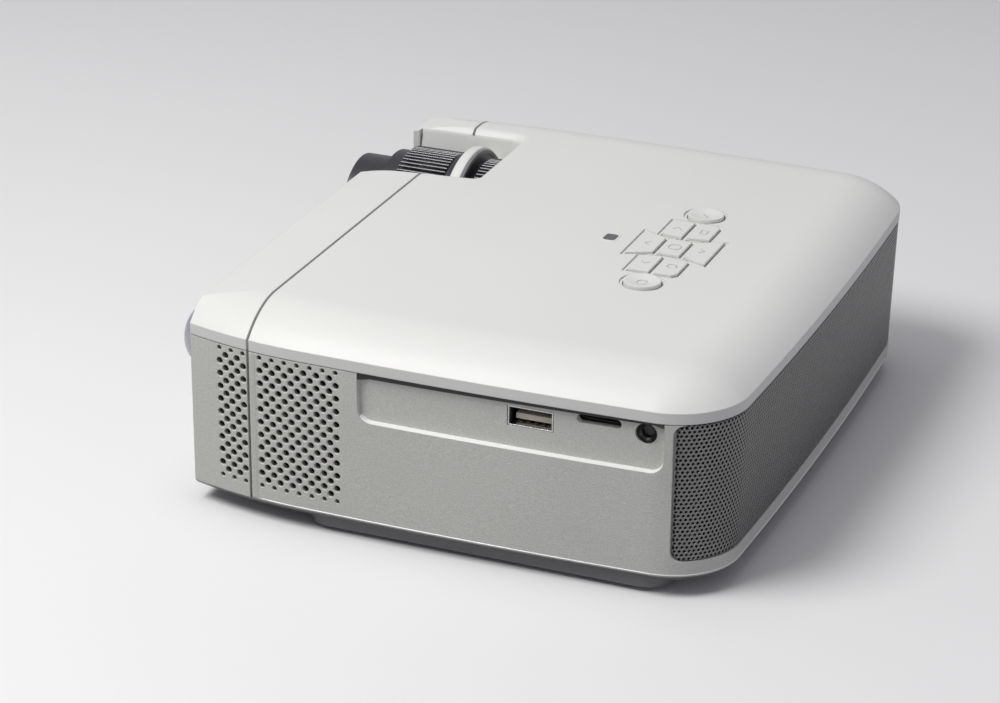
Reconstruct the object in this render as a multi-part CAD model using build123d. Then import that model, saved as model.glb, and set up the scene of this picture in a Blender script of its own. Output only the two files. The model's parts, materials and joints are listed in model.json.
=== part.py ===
"""Small table-top projector with a built-in disc player, made as separate subcomponents.

Frame: +Z up, feet stand on z = 0. The lens looks along -Y. The socket side is +X.
Y is drawn from the middle of the case, and save() moves each piece by FRAME_Y.
Driving sizes come first; every seat, hole and clearance is worked out from them.
"""
import math
import os

from build123d import *

os.makedirs("parts", exist_ok=True)

# ---- driving sizes of the case ----
HALF_W = 97.6          # half the width at the widest point of the bowed sides
HALF_D = 81.5          # half the depth, flat front face to the crest of the bowed back
FOOT_H = 1.5           # rubber feet
PLINTH_H = 3.5         # inset foot plinth under the rim
CHAMFER_H = 1.5        # dark bevel between plinth and rim
BODY_H = 46.3          # rim to lid parting line
BAND_H = 3.2           # upright band round the lid
CROWN_H = 8.0          # rise of the crowned top over the band
CROWN_RUN = 20.0       # how far in from the edge the crown goes flat
DRAFT = 0.95           # how far the sides lean in at the rim
FRONT_NARROW = 6.4     # how much narrower each side is at the front corner
CORNER_R = 22.0        # rear corners
SIDE_BOW = 1.2         # bow of each side behind its widest point
REAR_BOW = 1.4         # bow of the back between its corners
WALL = 2.2             # moulded wall
SEAM_BACK = 20.2       # front face to the seam between the front cap and the rest
SEAM_GAP = 0.8         # open line at that seam
FIT = 0.3              # clearance between pieces that pass one another
SHADOW_W, SHADOW_H = 0.5, 0.3   # groove that makes the parting line
DROP_FRONT = 2.5       # how far the top falls at the front edge
CUT = 20.0             # how far a cutting block reaches past a face

RIM_Z = FOOT_H + PLINTH_H + CHAMFER_H
PART_Z = RIM_Z + BODY_H
BAND_Z = PART_Z + BAND_H
TOP_Z = BAND_Z + CROWN_H
FRONT_Y = -HALF_D
SEAM_Y = FRONT_Y + SEAM_BACK
LID_SKIN = WALL * 0.9
LID_UNDER = TOP_Z - LID_SKIN

# ---- lens ----
LENS_X = -HALF_W + 47.9
LENS_Z = PART_Z - 11.8
FOCUS_R, FOCUS_Y0, FOCUS_Y1 = 22.0, FRONT_Y + 7.4, FRONT_Y + 23.7
KEY_R, KEY_Y0, KEY_Y1 = 21.6, FRONT_Y + 33.2, FRONT_Y + 43.0
HOOD_OUT = 9.3          # how far the lens tube stands out of the front face
HOOD_FRONT = FRONT_Y - HOOD_OUT
TROUGH_BACK = FRONT_Y + 37.7
TROUGH_SOFT = 2.4       # rounding along the trough's upper edge
BRIDGE_Y0, BRIDGE_Y1 = FRONT_Y + 26.7, FRONT_Y + 32.5
RIBS = 72

# ---- rear grille ----
GRILLE_Y = HALF_D - 16.4        # where the band starts on each side
GRILLE_Z0, GRILLE_Z1 = RIM_Z + 4.6, PART_Z - 0.6
GRILLE_T = 1.0
GRILLE_STEP = 0.3       # how far the sheet sits below the case surface
GRILLE_CORNER = 3.2
SPEAKER_X, SPEAKER_Z, SPEAKER_R = 50.0, RIM_Z + 23.5, 15.0

# ---- recess and sockets on the +X side ----
RECESS_DEPTH, RECESS_SOFT = 1.6, 4.0
RECESS_Y1 = GRILLE_Y - 2.3
RECESS_Y0 = RECESS_Y1 - 89.7
RECESS_Z0 = PART_Z - 15.1
SOCKET_X = HALF_W - RECESS_DEPTH - 0.5
USB_Y, USB_Z = RECESS_Y1 - 38.7, PART_Z - 5.5
CARD_Y, CARD_Z = RECESS_Y1 - 18.9, PART_Z - 2.8
CARD_HALF, CARD_TALL = 5.1, 1.3
JACK_Y, JACK_Z, JACK_HOLE_R = RECESS_Y1 - 5.5, PART_Z - 4.2, 3.0
JACK_BORE_R = 1.80      # for a 3.5 mm plug
JACK_BORE_L = 14.0
BOARD_T, BOARD_TOP = 1.6, USB_Z - 2.9

# ---- disc loader ----
DRIVE_W, DRIVE_D, DRIVE_H, DRIVE_Z = 128.0, 124.0, 11.2, RIM_Z + 0.4
DRIVE_FRONT = FRONT_Y + 3.7
DRIVE_TOP = DRIVE_Z + DRIVE_H
SHEET = 0.8
DISC_SEAT = 60.8        # well for a 120 mm disc
SPINDLE_Y = DRIVE_FRONT + DISC_SEAT
TRAY_HALF = DRIVE_W / 2 - SHEET - 1.6
TRAY_Z0, TRAY_TOP = DRIVE_Z + 1.5, DRIVE_Z + 8.3
OPEN_HALF, OPEN_Z0, OPEN_Z1 = 65.0, DRIVE_Z + 0.9, DRIVE_Z + 10.1

# ---- keypad on the lid ----
PAD_X, PAD_Y = 0.0, HALF_D - 49.2
KEY_GAP = 0.35
KEY_RISE = 0.3          # keys stand this far over the lid
PAD_SINK = 0.5          # depth of the shallow pocket round the keys
PAD_MARGIN = 1.25       # width of that pocket round each key
KEY_DEEP = 3.2          # how far a key reaches below the lid surface
ROUND_R, ROUND_X = 5.5, 28.9
WINDOW_X, WINDOW_Y = PAD_X - 0.9, PAD_Y - 20.4

# ---- cooling and power ----
FAN_HALF, FAN_T = 20.0, 10.0
FAN_X0, FAN_Y, FAN_Z = HALF_W - 16.7, SEAM_Y + 15.8, RIM_Z + 24.8
POWER_Y, POWER_Z, POWER_NOZZLE_R, POWER_BORE_R, POWER_BORE_L = 30.0, RIM_Z + 19.5, 4.0, 2.8, 9.0


# ---------------------------------------------------------------- helpers
def plan_wire(inset, z):
    """The case outline, drawn at height z and set in by inset on the sides and back."""
    side = HALF_W - inset
    back = HALF_D - inset
    corner = (HALF_W - SIDE_BOW - CORNER_R, HALF_D - REAR_BOW - CORNER_R)
    radius = CORNER_R - inset
    diag = radius * math.sqrt(0.5)
    front = (side - FRONT_NARROW, FRONT_Y)
    nose = (side - 0.4, FRONT_Y + 40.0)
    nose_mid = (side - 0.4 - (FRONT_NARROW - 0.4) * 0.25, FRONT_Y + 20.0)
    hip = (corner[0] + radius, corner[1])
    waist = (side, FRONT_Y + 89.5)
    right = [
        Edge.make_three_point_arc((*front, z), (*nose_mid, z), (*nose, z)),
        Edge.make_three_point_arc((*nose, z), (*waist, z), (*hip, z)),
        Edge.make_three_point_arc((*hip, z), (corner[0] + diag, corner[1] + diag, z), (corner[0], corner[1] + radius, z)),
    ]
    rear = Edge.make_three_point_arc((corner[0], corner[1] + radius, z), (0, back, z), (-corner[0], corner[1] + radius, z))
    left = [
        Edge.make_three_point_arc(
            (-corner[0], corner[1] + radius, z), (-corner[0] - diag, corner[1] + diag, z), (-hip[0], hip[1], z)
        ),
        Edge.make_three_point_arc((-hip[0], hip[1], z), (-waist[0], waist[1], z), (-nose[0], nose[1], z)),
        Edge.make_three_point_arc((-nose[0], nose[1], z), (-nose_mid[0], nose_mid[1], z), (-front[0], front[1], z)),
    ]
    close = Edge.make_line((-front[0], front[1], z), (front[0], front[1], z))
    return Wire(right + [rear] + left + [close])


def case_solid(inset, z0, z1, inset0=None):
    """A straight or drafted block of the case outline between two heights."""
    lower = plan_wire(inset if inset0 is None else inset0, z0)
    return Solid.make_loft([lower, plan_wire(inset, z1)], True)


def draft_at(z):
    """Inset of the drafted sides at height z."""
    return DRAFT * (PART_Z - z) / BODY_H


def drafted(extra, z0, z1):
    return case_solid(extra + draft_at(z1), z0, z1, extra + draft_at(z0))


def crown(inset, z0):
    """Lid block: upright band, then a crown whose section is one arc from 44 degrees to flat."""
    start = 2 * math.atan(CROWN_H / CROWN_RUN)
    radius = CROWN_RUN / math.sin(start)
    wires = []
    for step in range(5):
        slope = start * (1 - step / 4)
        run = radius * (math.sin(start) - math.sin(slope))
        rise = radius * (math.cos(slope) - math.cos(start))
        wires.append(plan_wire(inset + run * 0.93, BAND_Z - inset * 0.9 + rise))
    return case_solid(inset, z0, BAND_Z - inset * 0.9) + Solid.make_loft(wires, False)


def box(x0, x1, y0, y1, z0, z1):
    return Pos((x0 + x1) / 2, (y0 + y1) / 2, (z0 + z1) / 2) * Box(abs(x1 - x0), abs(y1 - y0), abs(z1 - z0))


def rod_y(x, z, radius, y0, y1):
    return Pos(x, (y0 + y1) / 2, z) * Rot(90, 0, 0) * Cylinder(radius, abs(y1 - y0))


def rod_x(y, z, radius, x0, x1):
    return Pos((x0 + x1) / 2, y, z) * Rot(0, 90, 0) * Cylinder(radius, abs(x1 - x0))


def rod_z(x, y, radius, z0, z1):
    return Pos(x, y, (z0 + z1) / 2) * Cylinder(radius, abs(z1 - z0))


def ring_y(x, z, outer, inner, y0, y1):
    return rod_y(x, z, outer, y0, y1) - rod_y(x, z, inner, y0 - 1, y1 + 1)


def soft_box(x0, x1, y0, y1, z0, z1, radius):
    """Upright block with rounded vertical corners."""
    sketch = RectangleRounded(abs(x1 - x0), abs(y1 - y0), radius)
    return Pos((x0 + x1) / 2, (y0 + y1) / 2, z0) * extrude(sketch, z1 - z0)


def prism(points, z0, z1):
    sketch = make_face(Polyline(*points, close=True))
    return Pos(0, 0, z0) * extrude(sketch, z1 - z0)


def behind(y):
    return box(-2 * HALF_W, 2 * HALF_W, y, 2 * HALF_D, -CUT, TOP_Z + CUT)


def before(y):
    return box(-2 * HALF_W, 2 * HALF_W, -2 * HALF_D, y, -CUT, TOP_Z + CUT)


FRAME_Y = -(HOOD_FRONT + HALF_D) / 2    # puts the origin under the middle of the whole object, hood included


def save(name, shape):
    moved = [Pos(0, FRAME_Y, 0) * solid for solid in shape.solids()]
    placed = moved[0] if len(moved) == 1 else Compound(moved)
    placed.label = name
    export_step(placed, f"parts/{name}.step")


# ---------------------------------------------------------------- lens trough cut in the lid
def soft_corner(before_it, corner, after_it, radius):
    """Start, middle and end of the arc that rounds a corner of a plan outline."""
    def unit(a, b):
        length = math.hypot(b[0] - a[0], b[1] - a[1])
        return ((b[0] - a[0]) / length, (b[1] - a[1]) / length)
    into, out = unit(corner, before_it), unit(corner, after_it)
    half = math.acos(into[0] * out[0] + into[1] * out[1]) / 2
    reach = radius / math.tan(half)
    mid = unit((0, 0), (into[0] + out[0], into[1] + out[1]))
    away = radius / math.sin(half) - radius
    start = (corner[0] + into[0] * reach, corner[1] + into[1] * reach)
    middle = (corner[0] + mid[0] * away, corner[1] + mid[1] * away)
    end = (corner[0] + out[0] * reach, corner[1] + out[1] * reach)
    return start, middle, end


TROUGH_TOP = TOP_Z + 10.0
TROUGH_LEAN = 3.0       # how far each wall leans in over the lid's height
TROUGH_CORNER = 4.0     # plan rounding of its two back corners


def trough_rim(z, grow):
    """Outline of the trough at height z: open to the front, narrower at the back."""
    lean = TROUGH_LEAN * (TOP_Z - z) / (TOP_Z - PART_Z + 4.0)
    near_front = (LENS_X + 25.2 - lean + grow, FRONT_Y - CUT)
    near_back = (LENS_X + 17.4 - lean + grow, TROUGH_BACK - lean * 0.4 + grow)
    far_back = (LENS_X - 23.2 + lean - grow, TROUGH_BACK - lean * 0.4 + grow)
    far_front = (LENS_X - 21.2 + lean - grow, FRONT_Y - CUT)
    n0, n1, n2 = soft_corner(near_front, near_back, far_back, TROUGH_CORNER - 2.0 + grow)
    f0, f1, f2 = soft_corner(near_back, far_back, far_front, TROUGH_CORNER + grow)
    return Wire([
        Edge.make_line((*near_front, z), (*n0, z)),
        Edge.make_three_point_arc((*n0, z), (*n1, z), (*n2, z)),
        Edge.make_line((*n2, z), (*f0, z)),
        Edge.make_three_point_arc((*f0, z), (*f1, z), (*f2, z)),
        Edge.make_line((*f2, z), (*far_front, z)),
        Edge.make_line((*far_front, z), (*near_front, z)),
    ])


def trough(grow, z0):
    return Solid.make_loft([trough_rim(z0, grow), trough_rim(TROUGH_TOP, grow)], True)


def trough_with_soft_edge():
    """The trough, widening along a quarter circle at its upper edge so that the edge is rounded."""
    steps = 5
    rims = [trough_rim(PART_Z - 4, 0)]
    for k in range(steps + 1):
        angle = math.pi / 2 * k / steps
        rims.append(trough_rim(TOP_Z - TROUGH_SOFT * (1 - math.sin(angle)), TROUGH_SOFT * (1 - math.cos(angle))))
    rims.append(trough_rim(TROUGH_TOP, TROUGH_SOFT))
    return Solid.make_loft(rims, True)


def front_fall():
    """Block above the top surface that takes the front strip down to its lower front edge."""
    run = SEAM_Y - FRONT_Y
    radius = (run * run + DROP_FRONT * DROP_FRONT) / (2 * DROP_FRONT)
    block = box(-2 * HALF_W, 2 * HALF_W, FRONT_Y - CUT, SEAM_Y, TOP_Z - 8, TOP_Z + CUT)
    return block - rod_x(SEAM_Y, TOP_Z - radius, radius, -2 * HALF_W, 2 * HALF_W)


def key_outlines():
    """Plan outlines of the seven flat keys, about the keypad centre, grown by g on every side."""
    def flat(g):
        inner, outer, mid = 3.3, 12.2, 6.0
        wing = [
            (-9.7 - g, -outer - g), (9.7 + g, -outer - g),
            (mid + g * 0.6, -inner - 1.6 + g), (-mid - g * 0.6, -inner - 1.6 + g),
        ]
        near = [(9.6 - g, -7.4 - g), (21.4 + g, -7.4 - g), (21.4 + g, -0.9 + g), (8.2 - g, -0.9 + g)]
        corner = [
            (8.2 - g, 0.9 - g), (21.4 + g, 0.9 - g), (21.4 + g, 6.2 + g * 0.5), (19.8 + g * 0.5, 7.4 + g), (9.6 - g, 7.4 + g),
        ]
        return {
            "key_center": [(-mid - g, -inner - g), (mid + g, -inner - g), (mid + g, inner + g), (-mid - g, inner + g)],
            "key_front": wing,
            "key_rear": [(x, -y) for x, y in wing],
            "key_right_front": near,
            "key_right_rear": corner,
            "key_left_front": [(-x, y) for x, y in near],
            "key_left_rear": [(-x, y) for x, y in corner],
        }
    return flat


flat_keys = key_outlines()
key_top = TOP_Z + KEY_RISE
key_foot = TOP_Z - KEY_DEEP
round_keys = {"key_round_right": ROUND_X, "key_round_left": -ROUND_X}


def key_cells(grow, z0):
    """Blocks over all nine keys, grown by grow, from z0 up through the lid."""
    cells = [Pos(PAD_X, PAD_Y, 0) * prism(points, z0, TOP_Z + 6) for points in flat_keys(grow).values()]
    return cells + [rod_z(PAD_X + x, PAD_Y, ROUND_R + grow, z0, TOP_Z + 6) for x in round_keys.values()]


# ---------------------------------------------------------------- lid
ENGINE_FRONT = FRONT_Y + 47.5
outer_lid = crown(0, PART_Z) - front_fall()
hollow = crown(WALL, PART_Z - 1) - before(FRONT_Y + WALL) - Pos(0, 0, -LID_SKIN) * front_fall()
lid = outer_lid - (hollow - trough(WALL, PART_Z - 2)) - trough_with_soft_edge()
lid = lid - rod_y(LENS_X, LENS_Z, FOCUS_R + 0.35, FOCUS_Y0 + 4, ENGINE_FRONT + 1)

lid_main = lid & behind(SEAM_Y + SEAM_GAP / 2)
for cell in key_cells(KEY_GAP, LID_UNDER - 1) + key_cells(PAD_MARGIN, TOP_Z - PAD_SINK):
    lid_main = lid_main - cell
lid_main = lid_main - Pos(WINDOW_X, WINDOW_Y, TOP_Z) * Box(5.6, 4.2, 12)
boss_places = [
    (HALF_W - 19.0, -20.0), (HALF_W - 27.6, HALF_D - 27.5), (-HALF_W + 9.0, -30.0), (-HALF_W + 19.0, HALF_D - 35.5),
]
PAD_BOARD_TOP = TOP_Z - 4.4
PAD_POSTS = [(PAD_X + x, PAD_Y + y) for x in (-37, 37) for y in (-20, 14)]
for x, y in PAD_POSTS:
    lid_main = lid_main + rod_z(x, y, 1.8, PAD_BOARD_TOP, LID_UNDER + 0.4)
for x, y in boss_places:
    boss = rod_z(x, y, 3.2, PART_Z - 4, LID_UNDER + 0.3) - rod_z(x, y, 1.2, PART_Z - 5, PART_Z + 3)
    lid_main = lid_main + (boss & crown(WALL / 2, PART_Z - 5))
save("lid_main", lid_main)

lid_front = lid & before(SEAM_Y - SEAM_GAP / 2)
RECEIVER_X, RECEIVER_Z, RECEIVER_R = HALF_W - 18.2, PART_Z - 4.6, 9.2
NECK_R = 7.6
receiver_hole = rod_y(RECEIVER_X, RECEIVER_Z, NECK_R, FRONT_Y - CUT, FRONT_Y + WALL + 1)
JAMB_X = LENS_X - 21.2
jamb = box(JAMB_X - 3.0, JAMB_X + 1.1, FRONT_Y, FRONT_Y + WALL, PART_Z, TOP_Z) & outer_lid
jamb_groove = box(JAMB_X - 0.9, JAMB_X + 3.0, FRONT_Y + WALL, FRONT_Y + WALL + 0.5, PART_Z, TOP_Z)
lid_front = lid_front + jamb - jamb_groove - receiver_hole
SHROUD_OUT, SHROUD_IN = FOCUS_R, FOCUS_R - 1.4
shroud_y0, shroud_y1 = FRONT_Y + WALL - 0.6, FRONT_Y + WALL + 1.4
shroud = ring_y(LENS_X, LENS_Z, SHROUD_OUT, SHROUD_IN, shroud_y0, shroud_y1)
shroud = shroud - box(LENS_X - CUT * 2, LENS_X + CUT * 2, shroud_y0 - 1, shroud_y1 + 1, LENS_Z, LENS_Z + CUT * 2)
for x in (LENS_X - SHROUD_OUT, LENS_X + SHROUD_IN):
    shroud = shroud + box(x, x + SHROUD_OUT - SHROUD_IN, shroud_y0, shroud_y1, LENS_Z - 0.1, PART_Z + 2)
shroud = shroud + box(LENS_X + SHROUD_IN, LENS_X + 25, FRONT_Y + WALL, shroud_y1, PART_Z - 2, PART_Z + 2)
lid_front = lid_front + shroud
save("lid_front", lid_front)

# ---------------------------------------------------------------- body shell and front cap
NEAR_X = HALF_W - 30.0      # cuts in the socket side start here


def side_cut(y0, y1, z0, z1):
    return box(NEAR_X, HALF_W + CUT, y0, y1, z0, z1)


def side_hole(y, z, radius):
    return rod_x(y, z, radius, NEAR_X, HALF_W + CUT)


shadow_line = case_solid(-2, PART_Z - SHADOW_H, PART_Z + 1) - case_solid(SHADOW_W, PART_Z - SHADOW_H - 1, PART_Z + 2)
shell = drafted(0, RIM_Z, PART_Z) - drafted(WALL, RIM_Z - 1, PART_Z + 1) - shadow_line
side_skin = drafted(RECESS_DEPTH, RIM_Z - 1, PART_Z + 1)
recess = side_cut(RECESS_Y0, RECESS_Y1, RECESS_Z0, PART_Z + 1)
for y, corner_y in ((RECESS_Y0 + RECESS_SOFT, RECESS_Y0), (RECESS_Y1 - RECESS_SOFT, RECESS_Y1)):
    square = side_cut(min(y, corner_y), max(y, corner_y), RECESS_Z0, RECESS_Z0 + RECESS_SOFT)
    recess = recess - (square - side_hole(y, RECESS_Z0 + RECESS_SOFT, RECESS_SOFT))
recess = recess - side_skin
backing = drafted(WALL - 0.1, RIM_Z, PART_Z) - drafted(WALL + 1.6, RIM_Z - 1, PART_Z + 1)
backing = backing & side_cut(RECESS_Y0 - 4, RECESS_Y1 + 1, RECESS_Z0 - 4, PART_Z)


def corner_filler(side, y, z, up, radius):
    """What is left of a square corner when it is rounded to radius, on one side of the case."""
    square = box(side * NEAR_X, side * (HALF_W + CUT), y - 1, y + radius, z - up, z + up * radius)
    return square - rod_x(y + radius, z + up * radius, radius, side * NEAR_X, side * (HALF_W + CUT))


grille_zone = behind(GRILLE_Y) & box(-2 * HALF_W, 2 * HALF_W, 0, 2 * HALF_D, GRILLE_Z0, PART_Z + 1)
for side in (-1, 1):
    for z, up in ((GRILLE_Z0, 1), (PART_Z - SHADOW_H, -1)):
        grille_zone = grille_zone - corner_filler(side, GRILLE_Y, z, up, GRILLE_CORNER)
grille_seat = grille_zone - drafted(GRILLE_STEP + GRILLE_T, RIM_Z - 1, PART_Z + 1)
rear_backing = drafted(GRILLE_STEP + GRILLE_T, RIM_Z, PART_Z) - drafted(WALL + 1.2, RIM_Z - 1, PART_Z + 1)
rear_backing = rear_backing & behind(GRILLE_Y - 4)
body = shell + backing + rear_backing - recess - grille_seat
body_shell = body & behind(SEAM_Y + SEAM_GAP / 2)
body_shell = body_shell - side_cut(USB_Y - 6.75, USB_Y + 6.75, USB_Z - 3.05, USB_Z + 3.05)
body_shell = body_shell - side_cut(CARD_Y - CARD_HALF, CARD_Y + CARD_HALF, CARD_Z - CARD_TALL, CARD_Z + CARD_TALL)
for y in (CARD_Y - CARD_HALF, CARD_Y + CARD_HALF):
    body_shell = body_shell - side_hole(y, CARD_Z, CARD_TALL)
body_shell = body_shell - side_hole(JACK_Y, JACK_Z, JACK_HOLE_R + 0.1)
body_shell = body_shell - rod_x(POWER_Y, POWER_Z, POWER_NOZZLE_R + 0.2, -HALF_W - CUT, -NEAR_X)
SPEAKER_BACK = HALF_D - 6.2       # front flange face, on a flat ring inside the case wall
seat_skin = drafted(GRILLE_STEP + GRILLE_T + 0.3, RIM_Z, PART_Z)
for x in (-SPEAKER_X, SPEAKER_X):
    body_shell = body_shell + (rod_y(x, SPEAKER_Z, SPEAKER_R + 2, SPEAKER_BACK, HALF_D) & seat_skin)
    body_shell = body_shell - rod_y(x, SPEAKER_Z, SPEAKER_R - 1.5, HALF_D - CUT, HALF_D + CUT)
save("body_shell", body_shell)

front_wall = (drafted(0, RIM_Z, PART_Z) & before(FRONT_Y + WALL)) - shadow_line
front_cap = (shell & before(SEAM_Y - SEAM_GAP / 2)) + front_wall
front_cap = front_cap - box(-OPEN_HALF, OPEN_HALF, FRONT_Y - CUT, FRONT_Y + CUT / 2, OPEN_Z0, OPEN_Z1)
front_cap = front_cap - rod_y(LENS_X, LENS_Z, FOCUS_R + 1.0, FRONT_Y - CUT, SEAM_Y - 0.2)
lens_notch = box(LENS_X - 21, LENS_X + 21, FRONT_Y - CUT, FRONT_Y + CUT / 2, LENS_Z + 6, PART_Z + 5)
front_cap = front_cap - lens_notch - receiver_hole
save("front_cap", front_cap)

# ---------------------------------------------------------------- rear grille
grille = drafted(GRILLE_STEP, RIM_Z, PART_Z) - drafted(GRILLE_STEP + GRILLE_T, RIM_Z - 1, PART_Z + 1)
grille = grille & box(-2 * HALF_W, 2 * HALF_W, GRILLE_Y + FIT, 2 * HALF_D, GRILLE_Z0 + FIT, GRILLE_Z1)
for side in (-1, 1):
    for z, up in ((GRILLE_Z0 + FIT, 1), (GRILLE_Z1, -1)):
        grille = grille - corner_filler(side, GRILLE_Y + FIT, z, up, GRILLE_CORNER)
save("speaker_grille", grille)

# ---------------------------------------------------------------- bottom cover
PLINTH_X, PLINTH_Y0, PLINTH_Y1 = HALF_W - 3.8, FRONT_Y + 35.1, HALF_D - 16.9
COVER_T = 1.6
cover = case_solid(DRAFT, RIM_Z - CHAMFER_H, RIM_Z, DRAFT + CHAMFER_H)
plinth = soft_box(-PLINTH_X, PLINTH_X, PLINTH_Y0, PLINTH_Y1, FOOT_H, RIM_Z - CHAMFER_H, 9.0)
pocket = soft_box(-PLINTH_X + 3, PLINTH_X - 3, PLINTH_Y0 + 3, PLINTH_Y1 - 3, FOOT_H + COVER_T, RIM_Z + 1, 6.0)
cover = cover + plinth - pocket
DRIVE_POST_X = DRIVE_W / 2 - 14.0
DRIVE_POSTS = [(x, y) for x in (-DRIVE_POST_X, DRIVE_POST_X) for y in (DRIVE_FRONT + 47.8, DRIVE_FRONT + 117.8)]
for x, y in DRIVE_POSTS:
    cover = cover + rod_z(x, y, 4.0, FOOT_H + 1.0, DRIVE_Z)
for x, y in boss_places:
    cover = cover + rod_z(x, y, 4.0, FOOT_H + 1.0, PART_Z - 4) - rod_z(x, y, 1.7, 0, PART_Z)
    cover = cover - rod_z(x, y, 3.0, 0, FOOT_H + 1.2)
locator = drafted(WALL + FIT, RIM_Z - 0.5, RIM_Z + 3) - drafted(WALL + FIT + 1.4, RIM_Z - 1, RIM_Z + 4)
locator = locator & behind(SEAM_Y + 1.3) & before(HALF_D - 21.5)
locator = locator - box(-DRIVE_W / 2 - 2, DRIVE_W / 2 + 2, FRONT_Y, HALF_D, 0, TOP_Z)
cover = cover + locator
for y, pad_foot in ((FAN_Y - 17, RIM_Z - 0.5), (FAN_Y + 17, FOOT_H + 1.0)):
    cover = cover + box(FAN_X0 + 0.5, FAN_X0 + FAN_T - 0.5, y - 3, y + 3, pad_foot, FAN_Z - FAN_HALF)
INLET_X0, INLET_X1 = -HALF_W + 3.7, -HALF_W + 14.0
cover = cover + box(INLET_X0 + 1.3, INLET_X1 - 1.0, POWER_Y - 4, POWER_Y + 4, FOOT_H + 1.0, POWER_Z - 6)
TRIPOD_Y, TRIPOD_R, THREAD_R = -20.0, 4.6, 2.55
cover = cover + rod_z(0, TRIPOD_Y, 7.0, FOOT_H, DRIVE_Z - 0.4) - rod_z(0, TRIPOD_Y, TRIPOD_R, 0, TOP_Z)
FOOT_PLACES = [(x, y) for x in (-PLINTH_X + 15.2, PLINTH_X - 15.2) for y in (PLINTH_Y0 + 11.4, PLINTH_Y1 - 9.6)]
for x, y in FOOT_PLACES:
    cover = cover - rod_z(x, y, 5.2, 0, FOOT_H + 0.5)
save("bottom_cover", cover)

feet = Compound(children=[rod_z(x, y, 5.0, 0, FOOT_H + 0.5) for x, y in FOOT_PLACES])
save("feet", feet)
tripod = rod_z(0, TRIPOD_Y, TRIPOD_R, FOOT_H, DRIVE_Z - 0.5) - rod_z(0, TRIPOD_Y, THREAD_R, 0, TOP_Z)
save("tripod_insert", tripod)
screws = []
for x, y in boss_places:
    screws.append(rod_z(x, y, 2.8, FOOT_H - 0.9, FOOT_H + 1.2) + rod_z(x, y, 1.2, FOOT_H + 1.2, PART_Z + 2.5))
save("case_screws", Compound(children=screws))

# ---------------------------------------------------------------- keypad
for name, points in flat_keys(0).items():
    cap = prism(points, LID_UNDER - 0.2, key_top)
    lip = prism(flat_keys(0.45)[name], key_foot, LID_UNDER - 0.2)
    save(name, Pos(PAD_X, PAD_Y, 0) * (cap + lip))
DISH_DEPTH, DISH_EDGE = 0.7, 0.6
for name, x in round_keys.items():
    place = PAD_X + x
    cap = rod_z(place, PAD_Y, ROUND_R, LID_UNDER - 0.2, key_top + 0.3)
    dish = Cone(1.6, ROUND_R - DISH_EDGE, DISH_DEPTH)
    cap = cap - Pos(place, PAD_Y, key_top + 0.3 - DISH_DEPTH / 2) * dish
    save(name, cap + rod_z(place, PAD_Y, ROUND_R + 0.7, key_foot, LID_UNDER - 0.2))

pad_board = soft_box(PAD_X - 40, PAD_X + 40, PAD_Y - 24, PAD_Y + 17, PAD_BOARD_TOP - 1.2, PAD_BOARD_TOP, 2.0)
key_centres = [(0, 0), (0, -9), (0, 9), (15, -4), (15, 4), (-15, -4), (-15, 4), (ROUND_X, 0), (-ROUND_X, 0)]
for x, y in key_centres:
    pad_board = pad_board + rod_z(PAD_X + x, PAD_Y + y, 2.2, PAD_BOARD_TOP, PAD_BOARD_TOP + 0.4)
save("key_board", pad_board)

window = soft_box(WINDOW_X - 2.6, WINDOW_X + 2.6, WINDOW_Y - 1.9, WINDOW_Y + 1.9, PAD_BOARD_TOP, TOP_Z - 0.1, 0.6)
save("top_window", window)

# ---------------------------------------------------------------- receiver on the front face
DOME_RISE = 3.0
dome_r = (RECEIVER_R ** 2 + DOME_RISE ** 2) / (2 * DOME_RISE)
dome = Pos(RECEIVER_X, FRONT_Y - DOME_RISE + dome_r, RECEIVER_Z) * Sphere(dome_r)
dome = dome & rod_y(RECEIVER_X, RECEIVER_Z, RECEIVER_R, FRONT_Y - 6, FRONT_Y)
neck = ring_y(RECEIVER_X, RECEIVER_Z, NECK_R - 0.2, NECK_R - 1.4, FRONT_Y, FRONT_Y + WALL + 1)
save("receiver_window", dome + neck)
sensor = box(RECEIVER_X - 3, RECEIVER_X + 3, FRONT_Y, FRONT_Y + 3.4, RECEIVER_Z - 3.5, RECEIVER_Z + 3.5)
save("receiver_sensor", sensor)

# ---------------------------------------------------------------- projection lens
TUBE_R, TUBE_BORE = 17.3, 15.8
SLEEVE_OUT, SLEEVE_BORE = 19.0, 17.6
COLLAR_R = 20.2
RIB_PROUD = 0.7         # how far a rib stands over the ring's groove


def lens_ring(outer, inner, y0, y1):
    return ring_y(LENS_X, LENS_Z, outer, inner, y0, y1)


def ribbed_ring(radius, y0, y1):
    """Grip ring with straight grooves along its axis, milled all the way round."""
    ring = lens_ring(radius, SLEEVE_OUT + FIT, y0, y1)
    width = 2 * math.pi * radius / RIBS * 0.55
    groove = box(LENS_X + radius - RIB_PROUD, LENS_X + radius + 1, y0 - 1, y1 + 1, LENS_Z - width / 2, LENS_Z + width / 2)
    axis = Axis((LENS_X, 0, LENS_Z), (0, 1, 0))
    cuts = [groove.rotate(axis, 360 * k / RIBS) for k in range(RIBS)]
    return ring - cuts


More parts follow.
